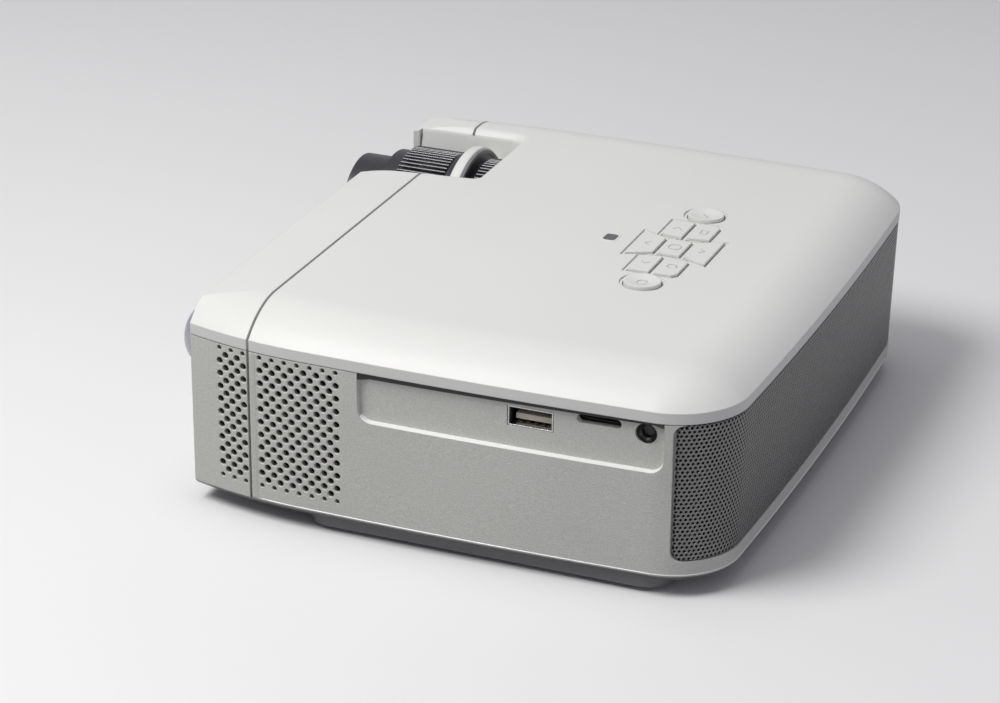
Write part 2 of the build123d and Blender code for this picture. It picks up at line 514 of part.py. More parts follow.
tube = lens_ring(TUBE_R, TUBE_BORE, HOOD_FRONT, HOOD_FRONT + 40.8)
tube = tube - Pos(LENS_X, HOOD_FRONT, LENS_Z) * Rot(-90, 0, 0) * Cone(TUBE_R - 0.3, 14.2, 9.0)
tube = tube + lens_ring(TUBE_BORE + 0.2, 14.6, HOOD_FRONT + 10.2, HOOD_FRONT + 11.2)
tube = tube + lens_ring(TUBE_BORE + 0.2, 13.2, HOOD_FRONT + 35.8, HOOD_FRONT + 36.8)
save("lens_tube", tube)
sleeve = lens_ring(SLEEVE_OUT, SLEEVE_BORE, FRONT_Y + 4.5, ENGINE_FRONT - 2.0)
sleeve = sleeve + lens_ring(FOCUS_R, SLEEVE_OUT - 0.5, FOCUS_Y1 + FIT, FOCUS_Y1 + 2.4)
sleeve = sleeve + lens_ring(21.0, SLEEVE_BORE, ENGINE_FRONT - 3.6, ENGINE_FRONT)
save("lens_sleeve", sleeve)
save("lens_collar", lens_ring(COLLAR_R, SLEEVE_OUT, FRONT_Y + 2.5, FOCUS_Y0 - FIT))
save("focus_ring", ribbed_ring(FOCUS_R, FOCUS_Y0, FOCUS_Y1))
save("keystone_ring", ribbed_ring(KEY_R, KEY_Y0, KEY_Y1))


def glass(radius, y, edge, bulge):
    """Round lens element whose front face bulges forward."""
    ball_r = (radius ** 2 + bulge ** 2) / (2 * bulge)
    front = Pos(LENS_X, y - bulge + ball_r, LENS_Z) * Sphere(ball_r)
    return rod_y(LENS_X, LENS_Z, radius, y, y + edge) + (front & rod_y(LENS_X, LENS_Z, radius, y - bulge, y))


save("front_glass", glass(TUBE_BORE - 0.05, HOOD_FRONT + 7.7, 2.5, 1.6))
save("rear_glass", glass(TUBE_BORE - 0.05, HOOD_FRONT + 33.3, 2.5, 1.6))
bridge = lens_ring(24.0, 22.5, BRIDGE_Y0, BRIDGE_Y1) + lens_ring(24.6, 24.0, BRIDGE_Y0 + 0.8, BRIDGE_Y1 - 0.8)
bridge = (bridge & trough(-0.05, PART_Z - 4)) - box(LENS_X - 60, LENS_X + 60, FRONT_Y, 0, 0, PART_Z)
save("lens_bridge", bridge)

# ---------------------------------------------------------------- light engine, lamp and heat sink
ENGINE_X0, ENGINE_X1 = LENS_X - 15.6, LENS_X + 15.4
ENGINE_Y1, ENGINE_Z0, ENGINE_Z1 = ENGINE_FRONT + 64.0, DRIVE_TOP + 1.5, LID_UNDER - 4.0
engine = soft_box(ENGINE_X0, ENGINE_X1, ENGINE_FRONT, ENGINE_Y1, ENGINE_Z0, ENGINE_Z1, 3.0)
engine = engine - rod_y(LENS_X, LENS_Z, 14.0, ENGINE_FRONT - 1, ENGINE_FRONT + 12)
for x in (LENS_X - 1.6, LENS_X + 10.4):
    for y in (ENGINE_FRONT + 6.0, ENGINE_FRONT + 58.0):
        engine = engine + rod_z(x, y, 2.5, DRIVE_TOP, ENGINE_Z0 + 0.5)
save("light_engine", engine)
LAMP_Y, LAMP_Z, LAMP_HALF = ENGINE_FRONT + 46.0, LENS_Z - 3.0, 12.0
lamp = box(ENGINE_X1, ENGINE_X1 + 3, LAMP_Y - LAMP_HALF, LAMP_Y + LAMP_HALF, LAMP_Z - LAMP_HALF, LAMP_Z + LAMP_HALF)
save("lamp_module", lamp)
SINK_X, SINK_BASE, FIN_LONG, FIN_T, FIN_PITCH = ENGINE_X1 + 3.0, 3.0, 31.0, 1.2, 4.0
sink = box(SINK_X, SINK_X + SINK_BASE, LAMP_Y - 17, LAMP_Y + 17, LAMP_Z - 15, LAMP_Z + 15)
for k in range(-4, 5):
    y = LAMP_Y + k * FIN_PITCH
    fin_x1 = SINK_X + SINK_BASE + FIN_LONG
    sink = sink + box(SINK_X + SINK_BASE, fin_x1, y - FIN_T / 2, y + FIN_T / 2, LAMP_Z - 15, LAMP_Z + 15)
save("heat_sink", sink)

# ---------------------------------------------------------------- fan
fan_x1 = FAN_X0 + FAN_T
frame = Pos((FAN_X0 + fan_x1) / 2, FAN_Y, FAN_Z) * Rot(0, 90, 0) * extrude(
    RectangleRounded(FAN_HALF * 2, FAN_HALF * 2, 2.5), FAN_T / 2, both=True
)
frame = frame - rod_x(FAN_Y, FAN_Z, FAN_HALF - 1.2, FAN_X0 - 1, fan_x1 + 1)
FAN_HOLE = FAN_HALF - 3.5
for y in (-FAN_HOLE, FAN_HOLE):
    for z in (-FAN_HOLE, FAN_HOLE):
        frame = frame - rod_x(FAN_Y + y, FAN_Z + z, 1.6, FAN_X0 - 1, fan_x1 + 1)
spoke = box(FAN_X0, FAN_X0 + 1.4, FAN_Y - 1.2, FAN_Y + 1.2, FAN_Z, FAN_Z + FAN_HALF - 0.6)
fan_axis = Axis((0, FAN_Y, FAN_Z), (1, 0, 0))
for k in range(3):
    frame = frame + spoke.rotate(fan_axis, 60 + 120 * k)
frame = frame + rod_x(FAN_Y, FAN_Z, 8.5, FAN_X0, FAN_X0 + 1.4)
save("fan_frame", frame)
BLADES = 7
rotor = rod_x(FAN_Y, FAN_Z, 9.0, FAN_X0 + 1.8, fan_x1 - 0.6)
blade = Pos((FAN_X0 + fan_x1) / 2 + 0.5, FAN_Y, FAN_Z + FAN_HALF - 6.8) * Rot(0, 0, 50) * Box(8.2, 0.9, 9.8)
for k in range(BLADES):
    rotor = rotor + blade.rotate(fan_axis, 360 * k / BLADES)
rotor = rotor & rod_x(FAN_Y, FAN_Z, FAN_HALF - 1.6, FAN_X0 + 1.8, fan_x1 - 0.4)
save("fan_impeller", rotor)

# ---------------------------------------------------------------- speakers
for name, x in (("right", SPEAKER_X), ("left", -SPEAKER_X)):
    y = SPEAKER_BACK
    basket = rod_y(x, SPEAKER_Z, SPEAKER_R, y - 9.9, y) + rod_y(x, SPEAKER_Z, SPEAKER_R + 2, y - 1.5, y)
    basket = basket - rod_y(x, SPEAKER_Z, SPEAKER_R - 1.2, y - 6.9, y + 1) + rod_y(x, SPEAKER_Z, 9.0, y - 13.5, y - 9.4)
    save(f"speaker_{name}", basket)
    cone = Pos(x, y - 3.7, SPEAKER_Z) * Rot(-90, 0, 0) * Cone(5.0, 13.6, 5.4)
    cone = cone - Pos(x, y - 2.7, SPEAKER_Z) * Rot(-90, 0, 0) * Cone(4.4, 13.0, 5.4)
    cap = Pos(x, y - 4.4, SPEAKER_Z) * Rot(-90, 0, 0) * Cone(5.0, 2.5, 2.4)
    save(f"speaker_cone_{name}", cone + cap)

# ---------------------------------------------------------------- main board and sockets
case_back = DRIVE_FRONT + DRIVE_D
BOARD_X0, BOARD_X1 = HALF_W - 81.0, HALF_W - 6.5
BOARD_Y0, BOARD_Y1 = FAN_Y + FAN_HALF + 11.5, HALF_D - 20.5
board = box(BOARD_X0, BOARD_X1, BOARD_Y0, BOARD_Y1, BOARD_TOP - BOARD_T, BOARD_TOP)
board = board - rod_z(*boss_places[1], 4.6, 0, TOP_Z)
board = board + box(BOARD_X0 + 12, BOARD_X0 + 36, BOARD_Y0 + 24, BOARD_Y0 + 48, BOARD_TOP, BOARD_TOP + 2.2)
board = board + box(BOARD_X0 + 14, BOARD_X0 + 26, BOARD_Y0 + 56, BOARD_Y0 + 66, BOARD_TOP, BOARD_TOP + 1.4)
board = board + rod_z(BOARD_X0 + 46, BOARD_Y0 + 18, 4.0, BOARD_TOP, BOARD_TOP + 7)
save("main_board", board)
stand_places = [(x, y) for x in (BOARD_X0 + 5.0, DRIVE_W / 2 - 6.0) for y in (BOARD_Y0 + 6.0, case_back - 4.2)]
stands = [rod_z(x, y, 2.6, DRIVE_TOP, BOARD_TOP - BOARD_T) for x, y in stand_places]
save("board_posts", Compound(children=stands))

SOCKET_BACK = SOCKET_X - 14.4
usb_outer = box(SOCKET_BACK, SOCKET_X, USB_Y - 6.6, USB_Y + 6.6, BOARD_TOP, USB_Z + 2.9)
usb_room = box(SOCKET_BACK + 2, SOCKET_X + CUT, USB_Y - 6.25, USB_Y + 6.25, USB_Z - 2.55, USB_Z + 2.55)
save("usb_shell", usb_outer - usb_room)
tongue = box(SOCKET_BACK + 2, SOCKET_X - 0.8, USB_Y - 5.6, USB_Y + 5.6, USB_Z - 0.3, USB_Z + 1.5)
tongue = tongue + box(SOCKET_BACK + 2, SOCKET_BACK + 4, USB_Y - 6.1, USB_Y + 6.1, USB_Z - 2.4, USB_Z + 2.4)
save("usb_tongue", tongue)
card = box(SOCKET_BACK - 0.5, SOCKET_X - 2.9, CARD_Y - 7.5, CARD_Y + 7.5, BOARD_TOP, CARD_Z + 2.0)
card = card - box(SOCKET_BACK + 1.5, SOCKET_X + CUT, CARD_Y - 5.6, CARD_Y + 5.6, CARD_Z - 0.5, CARD_Z + 0.5)
save("card_slot", card)
jack = box(SOCKET_BACK - 0.5, SOCKET_X - 3.2, JACK_Y - 3.6, JACK_Y + 3.6, BOARD_TOP, JACK_Z + 3.6)
jack = jack + rod_x(JACK_Y, JACK_Z, JACK_HOLE_R, SOCKET_X - 4.0, SOCKET_X)
jack = jack - rod_x(JACK_Y, JACK_Z, JACK_BORE_R, SOCKET_X - JACK_BORE_L, SOCKET_X + CUT)
save("audio_jack", jack)
NOZZLE_X = -HALF_W + 0.8
inlet = box(INLET_X0, INLET_X1, POWER_Y - 5.5, POWER_Y + 5.5, POWER_Z - 6.0, POWER_Z + 6.0)
inlet = inlet + rod_x(POWER_Y, POWER_Z, POWER_NOZZLE_R, NOZZLE_X, INLET_X0 + 0.3)
inlet = inlet - rod_x(POWER_Y, POWER_Z, POWER_BORE_R, NOZZLE_X - 2, NOZZLE_X + POWER_BORE_L)
save("power_inlet", inlet)
save("power_pin", rod_x(POWER_Y, POWER_Z, 1.0, NOZZLE_X + 1, NOZZLE_X + POWER_BORE_L))

# ---------------------------------------------------------------- disc loader
loader = box(-DRIVE_W / 2, DRIVE_W / 2, DRIVE_FRONT, case_back, DRIVE_Z, DRIVE_TOP)
loader_room = box(
    -DRIVE_W / 2 + SHEET, DRIVE_W / 2 - SHEET, DRIVE_FRONT - 1, case_back - SHEET, DRIVE_Z + SHEET, DRIVE_TOP - SHEET
)
save("loader_case", loader - loader_room)
RAIL_Z0, RAIL_Z1, RAIL_DEPTH = DRIVE_Z + 4.3, DRIVE_Z + 5.5, 1.6
rails = []
for side in (-1, 1):
    wall_x, rail_x = side * (DRIVE_W / 2 - SHEET), side * (TRAY_HALF - RAIL_DEPTH + FIT)
    rails.append(box(wall_x, rail_x, DRIVE_FRONT + 1.8, case_back - 6.2, RAIL_Z0, RAIL_Z1))
save("loader_rails", Compound(children=rails))

TRAY_BACK, TRAY_FRONT = case_back - 1.8, DRIVE_FRONT - 0.4
WELL_Z, SKIN_Z = DRIVE_Z + 6.1, DRIVE_Z + 2.3
tray = soft_box(-TRAY_HALF, TRAY_HALF, TRAY_FRONT, TRAY_BACK, TRAY_Z0, TRAY_TOP, 1.5)
for side in (-1, 1):
    groove_x0, groove_x1 = side * (TRAY_HALF - RAIL_DEPTH), side * (TRAY_HALF + 1)
    tray = tray - box(groove_x0, groove_x1, TRAY_FRONT - CUT, TRAY_BACK + CUT, RAIL_Z0 - FIT, RAIL_Z1 + FIT)
tray = tray - rod_z(0, SPINDLE_Y, DISC_SEAT, WELL_Z, TRAY_TOP + 1)
tray = tray - rod_z(0, SPINDLE_Y, 15.0, SKIN_Z, TRAY_TOP + 1)
SLED_Y0, SLED_TRACK, SLED_HALF = SPINDLE_Y + 17.0, 40.0, 21.0
SLED_Y1 = SLED_Y0 + SLED_TRACK
tray = tray - box(-SLED_HALF - 1, SLED_HALF + 1, SLED_Y0, SLED_Y1, SKIN_Z, TRAY_TOP + 1)
BUTTON_X, BUTTON_Z = 50.0, DRIVE_Z + 5.5
button_room = box(BUTTON_X - 5.6, BUTTON_X + 5.6, TRAY_FRONT - 1, TRAY_FRONT + 2.6, BUTTON_Z - 2.4, BUTTON_Z + 2.4)
tray = tray - button_room
save("disc_tray", tray)

bezel = box(-OPEN_HALF + 0.4, OPEN_HALF - 0.4, FRONT_Y, TRAY_FRONT, OPEN_Z0 + FIT, OPEN_Z1 - FIT)
bezel_cut = (FRONT_Y - CUT, FRONT_Y + CUT)
bezel = bezel - box(BUTTON_X - 4.3, BUTTON_X + 4.3, *bezel_cut, BUTTON_Z - 1.3, BUTTON_Z + 1.3)
bezel = bezel - rod_y(BUTTON_X - 14, BUTTON_Z, 0.6, *bezel_cut)
save("tray_front", bezel)
button = box(BUTTON_X - 4.0, BUTTON_X + 4.0, FRONT_Y - 0.6, TRAY_FRONT + 0.2, BUTTON_Z - 1.0, BUTTON_Z + 1.0)
button = button + box(BUTTON_X - 5.2, BUTTON_X + 5.2, TRAY_FRONT + 0.1, TRAY_FRONT + 0.9, BUTTON_Z - 2.0, BUTTON_Z + 2.0)
save("eject_button", button)

HUB_Z = WELL_Z - 0.3
save("spindle_motor", rod_z(0, SPINDLE_Y, 12.5, SKIN_Z, HUB_Z - 0.3))
hub = rod_z(0, SPINDLE_Y, 14.2, HUB_Z, HUB_Z + 0.9) + rod_z(0, SPINDLE_Y, 7.2, HUB_Z + 0.9, HUB_Z + 1.9)
hub = hub + Pos(0, SPINDLE_Y, HUB_Z + 2.2) * Cone(7.2, 6.2, 0.6)
hub_axis = Axis((0, SPINDLE_Y, 0), (0, 0, 1))
for k in range(3):
    hub = hub + (Pos(6.9, SPINDLE_Y, HUB_Z + 1.4) * Box(1.2, 1.2, 0.8)).rotate(hub_axis, 120 * k)
save("spindle_hub", hub)

ROD_R, ROD_X, ROD_Z, SCREW_X, SCREW_R = 0.8, 18.0, DRIVE_Z + 4.1, 9.0, 1.0
save("guide_rods", Compound(children=[rod_y(x, ROD_Z, ROD_R, SLED_Y0, SLED_Y1) for x in (-ROD_X, ROD_X)]))
SLED_LEN, SLED_Z0, SLED_Z1 = 14.0, SKIN_Z + 0.3, SKIN_Z + 3.3
sled = box(-SLED_HALF + 0.5, SLED_HALF - 0.5, SLED_Y0 + 0.6, SLED_Y0 + 0.6 + SLED_LEN, SLED_Z0, SLED_Z1)
for x in (-ROD_X, ROD_X):
    sled = sled - rod_y(x, ROD_Z, ROD_R + 0.25, SLED_Y0 - CUT, SLED_Y1 + CUT)
sled = sled - rod_y(SCREW_X, ROD_Z, SCREW_R + 0.3, SLED_Y0 - CUT, SLED_Y1 + CUT)
save("laser_sled", sled)
LASER_Y = SLED_Y0 + 0.6 + SLED_LEN / 2
eye = rod_z(0, LASER_Y, 4.2, SLED_Z1, SLED_Z1 + 0.4) + rod_z(0, LASER_Y, 2.4, SLED_Z1 + 0.4, SLED_Z1 + 0.6)
save("laser_lens", eye)
save("lead_screw", rod_y(SCREW_X, ROD_Z, SCREW_R, SLED_Y0 + 0.1, SLED_Y1 - 0.1))
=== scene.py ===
"""Looks of the small table-top projector: finishes, vents, grille, lens, keys, sockets, light and camera.

Lengths are metres, and MM turns millimetres into metres. The lens looks along -Y and the socket side is +X.
"""
import json
import math

import bmesh
import bpy
from mathutils import Matrix, Vector
from mathutils.bvhtree import BVHTree
from mathutils.interpolate import poly_3d_calc


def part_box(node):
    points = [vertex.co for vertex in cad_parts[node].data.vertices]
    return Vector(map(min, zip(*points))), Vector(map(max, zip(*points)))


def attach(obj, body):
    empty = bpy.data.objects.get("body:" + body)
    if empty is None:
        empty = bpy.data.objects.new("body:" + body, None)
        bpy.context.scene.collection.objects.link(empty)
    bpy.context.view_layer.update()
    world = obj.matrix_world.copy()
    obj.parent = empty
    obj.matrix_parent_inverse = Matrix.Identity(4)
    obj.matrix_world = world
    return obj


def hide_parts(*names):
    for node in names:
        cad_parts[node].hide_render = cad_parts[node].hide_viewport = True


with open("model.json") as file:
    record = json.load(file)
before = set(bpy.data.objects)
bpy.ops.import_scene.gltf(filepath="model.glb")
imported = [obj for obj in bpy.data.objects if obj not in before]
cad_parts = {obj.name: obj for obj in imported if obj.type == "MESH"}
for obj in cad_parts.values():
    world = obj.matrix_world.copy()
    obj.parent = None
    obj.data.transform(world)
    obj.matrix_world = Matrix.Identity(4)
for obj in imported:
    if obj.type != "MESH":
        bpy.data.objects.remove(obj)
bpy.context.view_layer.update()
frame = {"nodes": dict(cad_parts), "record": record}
nodes = frame["nodes"]
MM = 0.001
FRAME_Y = 4.65 * MM          # the case's own middle lies this far behind the frame's origin
OUTSIDE = 130 * MM           # well clear of the case: where rays towards it start
LEAN = 0.95 / 46.3           # how far the side walls lean out for each unit of height


# ---------------------------------------------------------------- node trees
class Tree:
    """A node tree with short ways to add nodes and to link or set their inputs."""

    def __init__(self, tree):
        self.tree = tree

    def put(self, socket, value):
        if isinstance(value, bpy.types.NodeSocket):
            self.tree.links.new(value, socket)
        else:
            socket.default_value = value

    def node(self, kind, settings=None, **inputs):
        """A new node; an underscore in the name of an input stands for a space."""
        node = self.tree.nodes.new(kind)
        for key, value in (settings or {}).items():
            setattr(node, key, value)
        for key, value in inputs.items():
            self.put(node.inputs[key.replace("_", " ")], value)
        return node

    def calculate(self, operation, first, second=0.0):
        node = self.node("ShaderNodeMath", {"operation": operation})
        self.put(node.inputs[0], first)
        self.put(node.inputs[1], second)
        return node.outputs[0]

    def plus(self, first, second):
        return self.calculate("ADD", first, second)

    def minus(self, first, second):
        return self.calculate("SUBTRACT", first, second)

    def times(self, first, second):
        return self.calculate("MULTIPLY", first, second)


class Shader(Tree):
    """A new material with a surface shader, whose patterns lie on the piece's own coordinates."""

    def __init__(self, name):
        self.material = bpy.data.materials.new(name)
        self.material.use_nodes = True
        super().__init__(self.material.node_tree)
        self.tree.nodes.clear()
        self.surface = self.node("ShaderNodeBsdfPrincipled")
        self.node("ShaderNodeOutputMaterial", Surface=self.surface.outputs["BSDF"])
        self.place = self.node("ShaderNodeTexCoord").outputs["Object"]

    def set(self, **values):
        """Sets or links inputs of the surface shader."""
        for name, value in values.items():
            self.put(self.surface.inputs[name.replace("_", " ")], value)

    def noise(self, scale, detail=2.0, stretch=(1, 1, 1)):
        mapping = self.node("ShaderNodeMapping", Vector=self.place, Scale=stretch)
        noise = self.node("ShaderNodeTexNoise", Vector=mapping.outputs["Vector"], Scale=scale, Detail=detail)
        return noise.outputs["Fac"]

    def ramp(self, factor, low, high):
        """Turns a noise's factor into a colour between low and high, over the range where most of it lies."""
        ramp = self.node("ShaderNodeValToRGB", Fac=factor)
        for element, position, colour in zip(ramp.color_ramp.elements, (0.3, 0.7), (low, high)):
            element.position = position
            element.color = (*colour, 1)
        return ramp.outputs["Color"]

    def spread(self, factor, low, high):
        """Turns a 0 to 1 factor into a number between low and high."""
        return self.node("ShaderNodeMapRange", Value=factor, To_Min=low, To_Max=high).outputs["Result"]

    def mix(self, blend, factor, first, second):
        """Blends two colours."""
        colour_a, colour_b, colour_out = 6, 7, 2
        both = self.node("ShaderNodeMix", {"data_type": "RGBA", "blend_type": blend}, Factor=factor)
        self.put(both.inputs[colour_a], first)
        self.put(both.inputs[colour_b], second)
        return both.outputs[colour_out]

    def bump(self, height, distance, edge=0.0):
        """Raises the grain by a distance; hard edges are shaded as if rounded by edge, as a mould's are."""
        bump = self.node("ShaderNodeBump", Height=height, Distance=distance)
        if edge:
            bevel = self.node("ShaderNodeBevel", {"samples": 4}, Radius=edge)
            self.put(bump.inputs["Normal"], bevel.outputs["Normal"])
        self.set(Normal=bump.outputs["Normal"])


# ---------------------------------------------------------------- kinds of finish
# Their grain (size), depth (height of the grain) and edge (rounding) are in millimetres.
def shade(colour, amount):
    return tuple(min(1.0, channel * amount) for channel in colour)


def grey(level):
    return (level, level, level)


def moulded(name, colour, rough, grain, depth, coat=0.0, mottle=0.03, edge=0.0, fleck=0.0):
    """Moulded plastic: faintly mottled, with a fine grain that may show in its colour, and a soft sheen."""
    shader = Shader(name)
    body_colour = shader.ramp(shader.noise(18.0, 3.0), shade(colour, 1 - mottle), shade(colour, 1 + mottle))
    grains = shader.noise(1.0 / (grain * MM))
    if fleck:
        flecks = shader.ramp(grains, grey(1 - fleck), grey(1.0))
        body_colour = shader.mix("MULTIPLY", 1.0, body_colour, flecks)
    shader.set(Base_Color=body_colour, Roughness=shader.spread(grains, rough - 0.05, rough + 0.05))
    shader.set(Coat_Weight=coat, Coat_Roughness=0.25)
    shader.bump(grains, depth * MM, edge * MM)
    return shader.material


def metal(name, colour, rough, grain, stretch=(1, 1, 1), depth=0.002, edge=0.0):
    """Bare metal with fine marks, which may be drawn out along one axis."""
    shader = Shader(name)
    marks = shader.noise(1.0 / (grain * MM), 3.0, stretch)
    shader.set(Base_Color=shader.ramp(marks, shade(colour, 0.9), shade(colour, 1.08)), Metallic=1.0)
    shader.set(Roughness=shader.spread(marks, rough - 0.06, rough + 0.08))
    shader.bump(marks, depth * MM, edge * MM)
    return shader.material


def clear(name, colour, rough, weight, ior=1.5):
    """Glass or clear plastic with a faint film that blurs it unevenly."""
    shader = Shader(name)
    film = shader.noise(120.0)
    shader.set(Base_Color=shader.ramp(film, shade(colour, 0.96), colour))
    shader.set(Roughness=shader.spread(film, rough, rough + 0.03), Transmission_Weight=weight, IOR=ior)
    return shader.material


def circuit(name):
    """Green solder mask with a pattern of darker and lighter tracks."""
    shader = Shader(name)
    tracks = shader.node(
        "ShaderNodeTexBrick", Vector=shader.place, Scale=160.0, Color1=(0.010, 0.075, 0.030, 1),
        Color2=(0.014, 0.095, 0.040, 1), Mortar=(0.030, 0.16, 0.07, 1), Mortar_Size=0.03,
    )
    shader.set(Base_Color=tracks.outputs["Color"], Roughness=0.35, Coat_Weight=0.4)
    return shader.material


# ---------------------------------------------------------------- the finishes
LID_WHITE = (0.76, 0.76, 0.735)
SIDE_GREY = (0.68, 0.68, 0.64)
materials = {
    "case_side": moulded("side plastic", SIDE_GREY, 0.46, 0.50, 0.11, edge=0.25, fleck=0.16),
    "lid_white": moulded("lid plastic", LID_WHITE, 0.44, 0.9, 0.002, coat=0.06, mottle=0.01, edge=0.35),
    "key_white": moulded("key plastic", LID_WHITE, 0.40, 0.8, 0.003, coat=0.1, mottle=0.01, edge=0.3),
    # Darker than the keys: painted shade that makes the raised marks read as engraved.
    "key_mark_shade": moulded("key mark", (0.44, 0.44, 0.43), 0.40, 0.8, 0.002),
    # Lighter than the side plastic: a painted highlight for edges that face the lamps.
    "painted_highlight_edge": moulded("polished edge", (0.86, 0.86, 0.84), 0.30, 0.8, 0.002, coat=0.3),
    "base_grey": moulded("base plastic", (0.15, 0.15, 0.155), 0.36, 0.4, 0.01, coat=0.3, edge=0.3),
    "foot_rubber": moulded("foot rubber", grey(0.02), 0.75, 0.3, 0.02),
    # The steel is darkened well below bare steel: painted shade for the dark surroundings it reflects.
    "grille_metal": metal("grille steel", grey(0.17), 0.30, 0.5),
    "cone_paper": moulded("cone paper", grey(0.020), 0.85, 0.6, 0.05, mottle=0.15),
    "speaker_frame": moulded("basket paint", grey(0.025), 0.45, 0.4, 0.01),
    "screw_steel": metal("screw steel", (0.45, 0.45, 0.46), 0.35, 0.4),
    "insert_brass": metal("insert brass", (0.60, 0.42, 0.16), 0.32, 0.4),
    "lens_black": moulded("lens plastic", (0.024, 0.024, 0.029), 0.36, 0.5, 0.002, coat=0.1, edge=0.2),
    "ring_black": moulded("ring plastic", (0.026, 0.025, 0.034), 0.20, 2.0, 0.001, coat=0.8),
    "arch_grey": moulded("arch rim plastic", grey(0.20), 0.40, 0.8, 0.003, edge=0.2),
    "lens_glass": clear("lens glass", (0.86, 0.90, 1.0), 0.02, 1.0),
    "engine_metal": metal("cast alloy", (0.30, 0.30, 0.31), 0.50, 0.6, depth=0.02),
    "lamp_board": metal("lamp plate", grey(0.62), 0.35, 0.4),
    "sink_metal": metal("extruded alloy", (0.50, 0.50, 0.52), 0.38, 0.5, (1, 1, 8)),
    "fan_plastic": moulded("fan plastic", grey(0.018), 0.50, 0.4, 0.005),
    "board_green": circuit("circuit board"),
    "socket_steel": metal("plated steel", grey(0.50), 0.26, 0.5, edge=0.15),
    "socket_tongue": moulded("socket tongue", (0.88, 0.82, 0.68), 0.45, 0.4, 0.003),
    "socket_black": moulded("socket plastic", grey(0.008), 0.40, 0.4, 0.003, edge=0.2),
    "loader_steel": metal("zinc plated sheet", grey(0.55), 0.34, 1.2),
    "tray_plastic": moulded("tray plastic", (0.022, 0.022, 0.023), 0.42, 0.4, 0.006, edge=0.2),
    "window_dark": moulded("dark window", (0.06, 0.06, 0.062), 0.10, 0.5, 0.001, coat=0.6),
    "window_clear": clear("receiver dome", (0.66, 0.65, 0.73), 0.22, 0.75, 1.49),
}
node_slots = {part["node"]: part["material_slot"] for part in frame["record"]["subparts"]}
members = frame["record"]["behaviour"]["bodies"]
node_bodies = {node: body for body, carried in members.items() for node in carried}
for name, thing in nodes.items():
    finish = materials[node_slots[name]]
    if not thing.material_slots:
        thing.data.materials.append(finish)
    for slot in thing.material_slots:
        slot.material = finish


# ---------------------------------------------------------------- mesh helpers
def write(shape, mesh):
    """Writes a bmesh into a mesh and lets it go."""
    shape.to_mesh(mesh)
    shape.free()
    return mesh


def joined_copy(node):
    """A copy of a CAD node's mesh with its corners joined."""
    shape = bmesh.new()
    shape.from_mesh(nodes[node].data)
    bmesh.ops.remove_doubles(shape, verts=shape.verts, dist=0.0005 * MM)
    return write(shape, bpy.data.meshes.new(node))


def mesh_of(name, points, faces, weld=0.0):
    """A plain mesh with its faces turned outwards; points nearer than weld become one."""
    mesh = bpy.data.meshes.new(name)
    mesh.from_pydata([tuple(point) for point in points], [], faces)
    mesh.validate()
    shape = bmesh.new()
    shape.from_mesh(mesh)
    if weld:
        bmesh.ops.remove_doubles(shape, verts=shape.verts, dist=weld)
    bmesh.ops.recalc_face_normals(shape, faces=shape.faces)
    return write(shape, mesh)


def grid_faces(rows, width, wrapped=True, looped=False, first=0):
    """Faces between neighbouring rows of points. A wrapped row closes on itself; looped rows close too."""
    faces = []
    for row in range(rows if looped else rows - 1):
        here = first + row * width
        there = first + (row + 1) % rows * width
        for k in range(width if wrapped else width - 1):
            after = (k + 1) % width
            faces.append((here + k, here + after, there + after, there + k))
    return faces


def grid_mesh(name, rows, **closing):
    """A mesh over rows of points of the same length."""
    points = [point for row in rows for point in row]
    return mesh_of(name, points, grid_faces(len(rows), len(rows[0]), **closing))


def strip_mesh(sections):
    """A solid strip through neighbouring sections, with its two ends closed."""
    points = [point for section in sections for point in section]
    width = len(sections[0])
    faces = grid_faces(len(sections), width)
    faces.append(tuple(range(width)))
    faces.append(tuple(range(len(points) - width, len(points))))
    return mesh_of("strip", points, faces)


def lathe(profile, axis_x, axis_z, steps=96):
    """Turns (y, radius) pairs round an axis along Y; a profile that comes back to its start gives a ring."""
    looped = profile[0] == profile[-1]
    if looped:
        profile = profile[:-1]
    turns = [2 * math.pi * k / steps for k in range(steps)]
    points = []
    for y, radius in profile:
        points += [(axis_x + radius * math.cos(turn), y, axis_z + radius * math.sin(turn)) for turn in turns]
    return points, grid_faces(len(profile), steps, looped=looped)


def block(low, high, chamfer=0.0):
    """A block between two corners with chamfered edges."""
    shape = bmesh.new()
    bmesh.ops.create_cube(shape, size=1.0)
    for corner in shape.verts:
        corner.co = Vector([low[k] + (high[k] - low[k]) * (corner.co[k] + 0.5) for k in range(3)])
    if chamfer:
        bmesh.ops.bevel(shape, geom=shape.edges[:], offset=chamfer, segments=2, affect="EDGES", profile=0.6)
    bmesh.ops.recalc_face_normals(shape, faces=shape.faces)
    return write(shape, bpy.data.meshes.new("block"))


def join_meshes(parts):
    shape = bmesh.new()
    for part in parts:
        shape.from_mesh(part)
    return write(shape, bpy.data.meshes.new("joined"))


def add_piece(name, mesh, slot, body="case", instead_of=None, smooth_below=30.0, finish=None):
    """Puts a mesh in the scene on a body, with the finish of its slot of the record or another one."""
    mesh.materials.clear()
    mesh.materials.append(materials[finish or slot])
    for face in mesh.polygons:
        face.material_index = 0
    if smooth_below:
        mesh.shade_smooth()
        mesh.set_sharp_from_angle(angle=math.radians(smooth_below))
    piece = bpy.data.objects.new(name, mesh)
    bpy.context.collection.objects.link(piece)
    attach(piece, body)
    if instead_of:
        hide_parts(instead_of)


trees = {}


def cad_tree(node):
    """Search tree over a CAD node's own faces, made once."""
    if node not in trees:
        mesh = nodes[node].data
        corners = [corner.co for corner in mesh.vertices]
        trees[node] = BVHTree.FromPolygons(corners, [face.vertices for face in mesh.polygons])
    return trees[node]


def surface_ray(node, start, direction):
    """Where a ray meets a CAD node's mesh."""
    return cad_tree(node).ray_cast(Vector(start), Vector(direction))[0]


def side_x(y, z):
    """X of the socket side's outer face at a place."""
    return surface_ray("body_shell", (OUTSIDE, y, z), (-1, 0, 0)).x


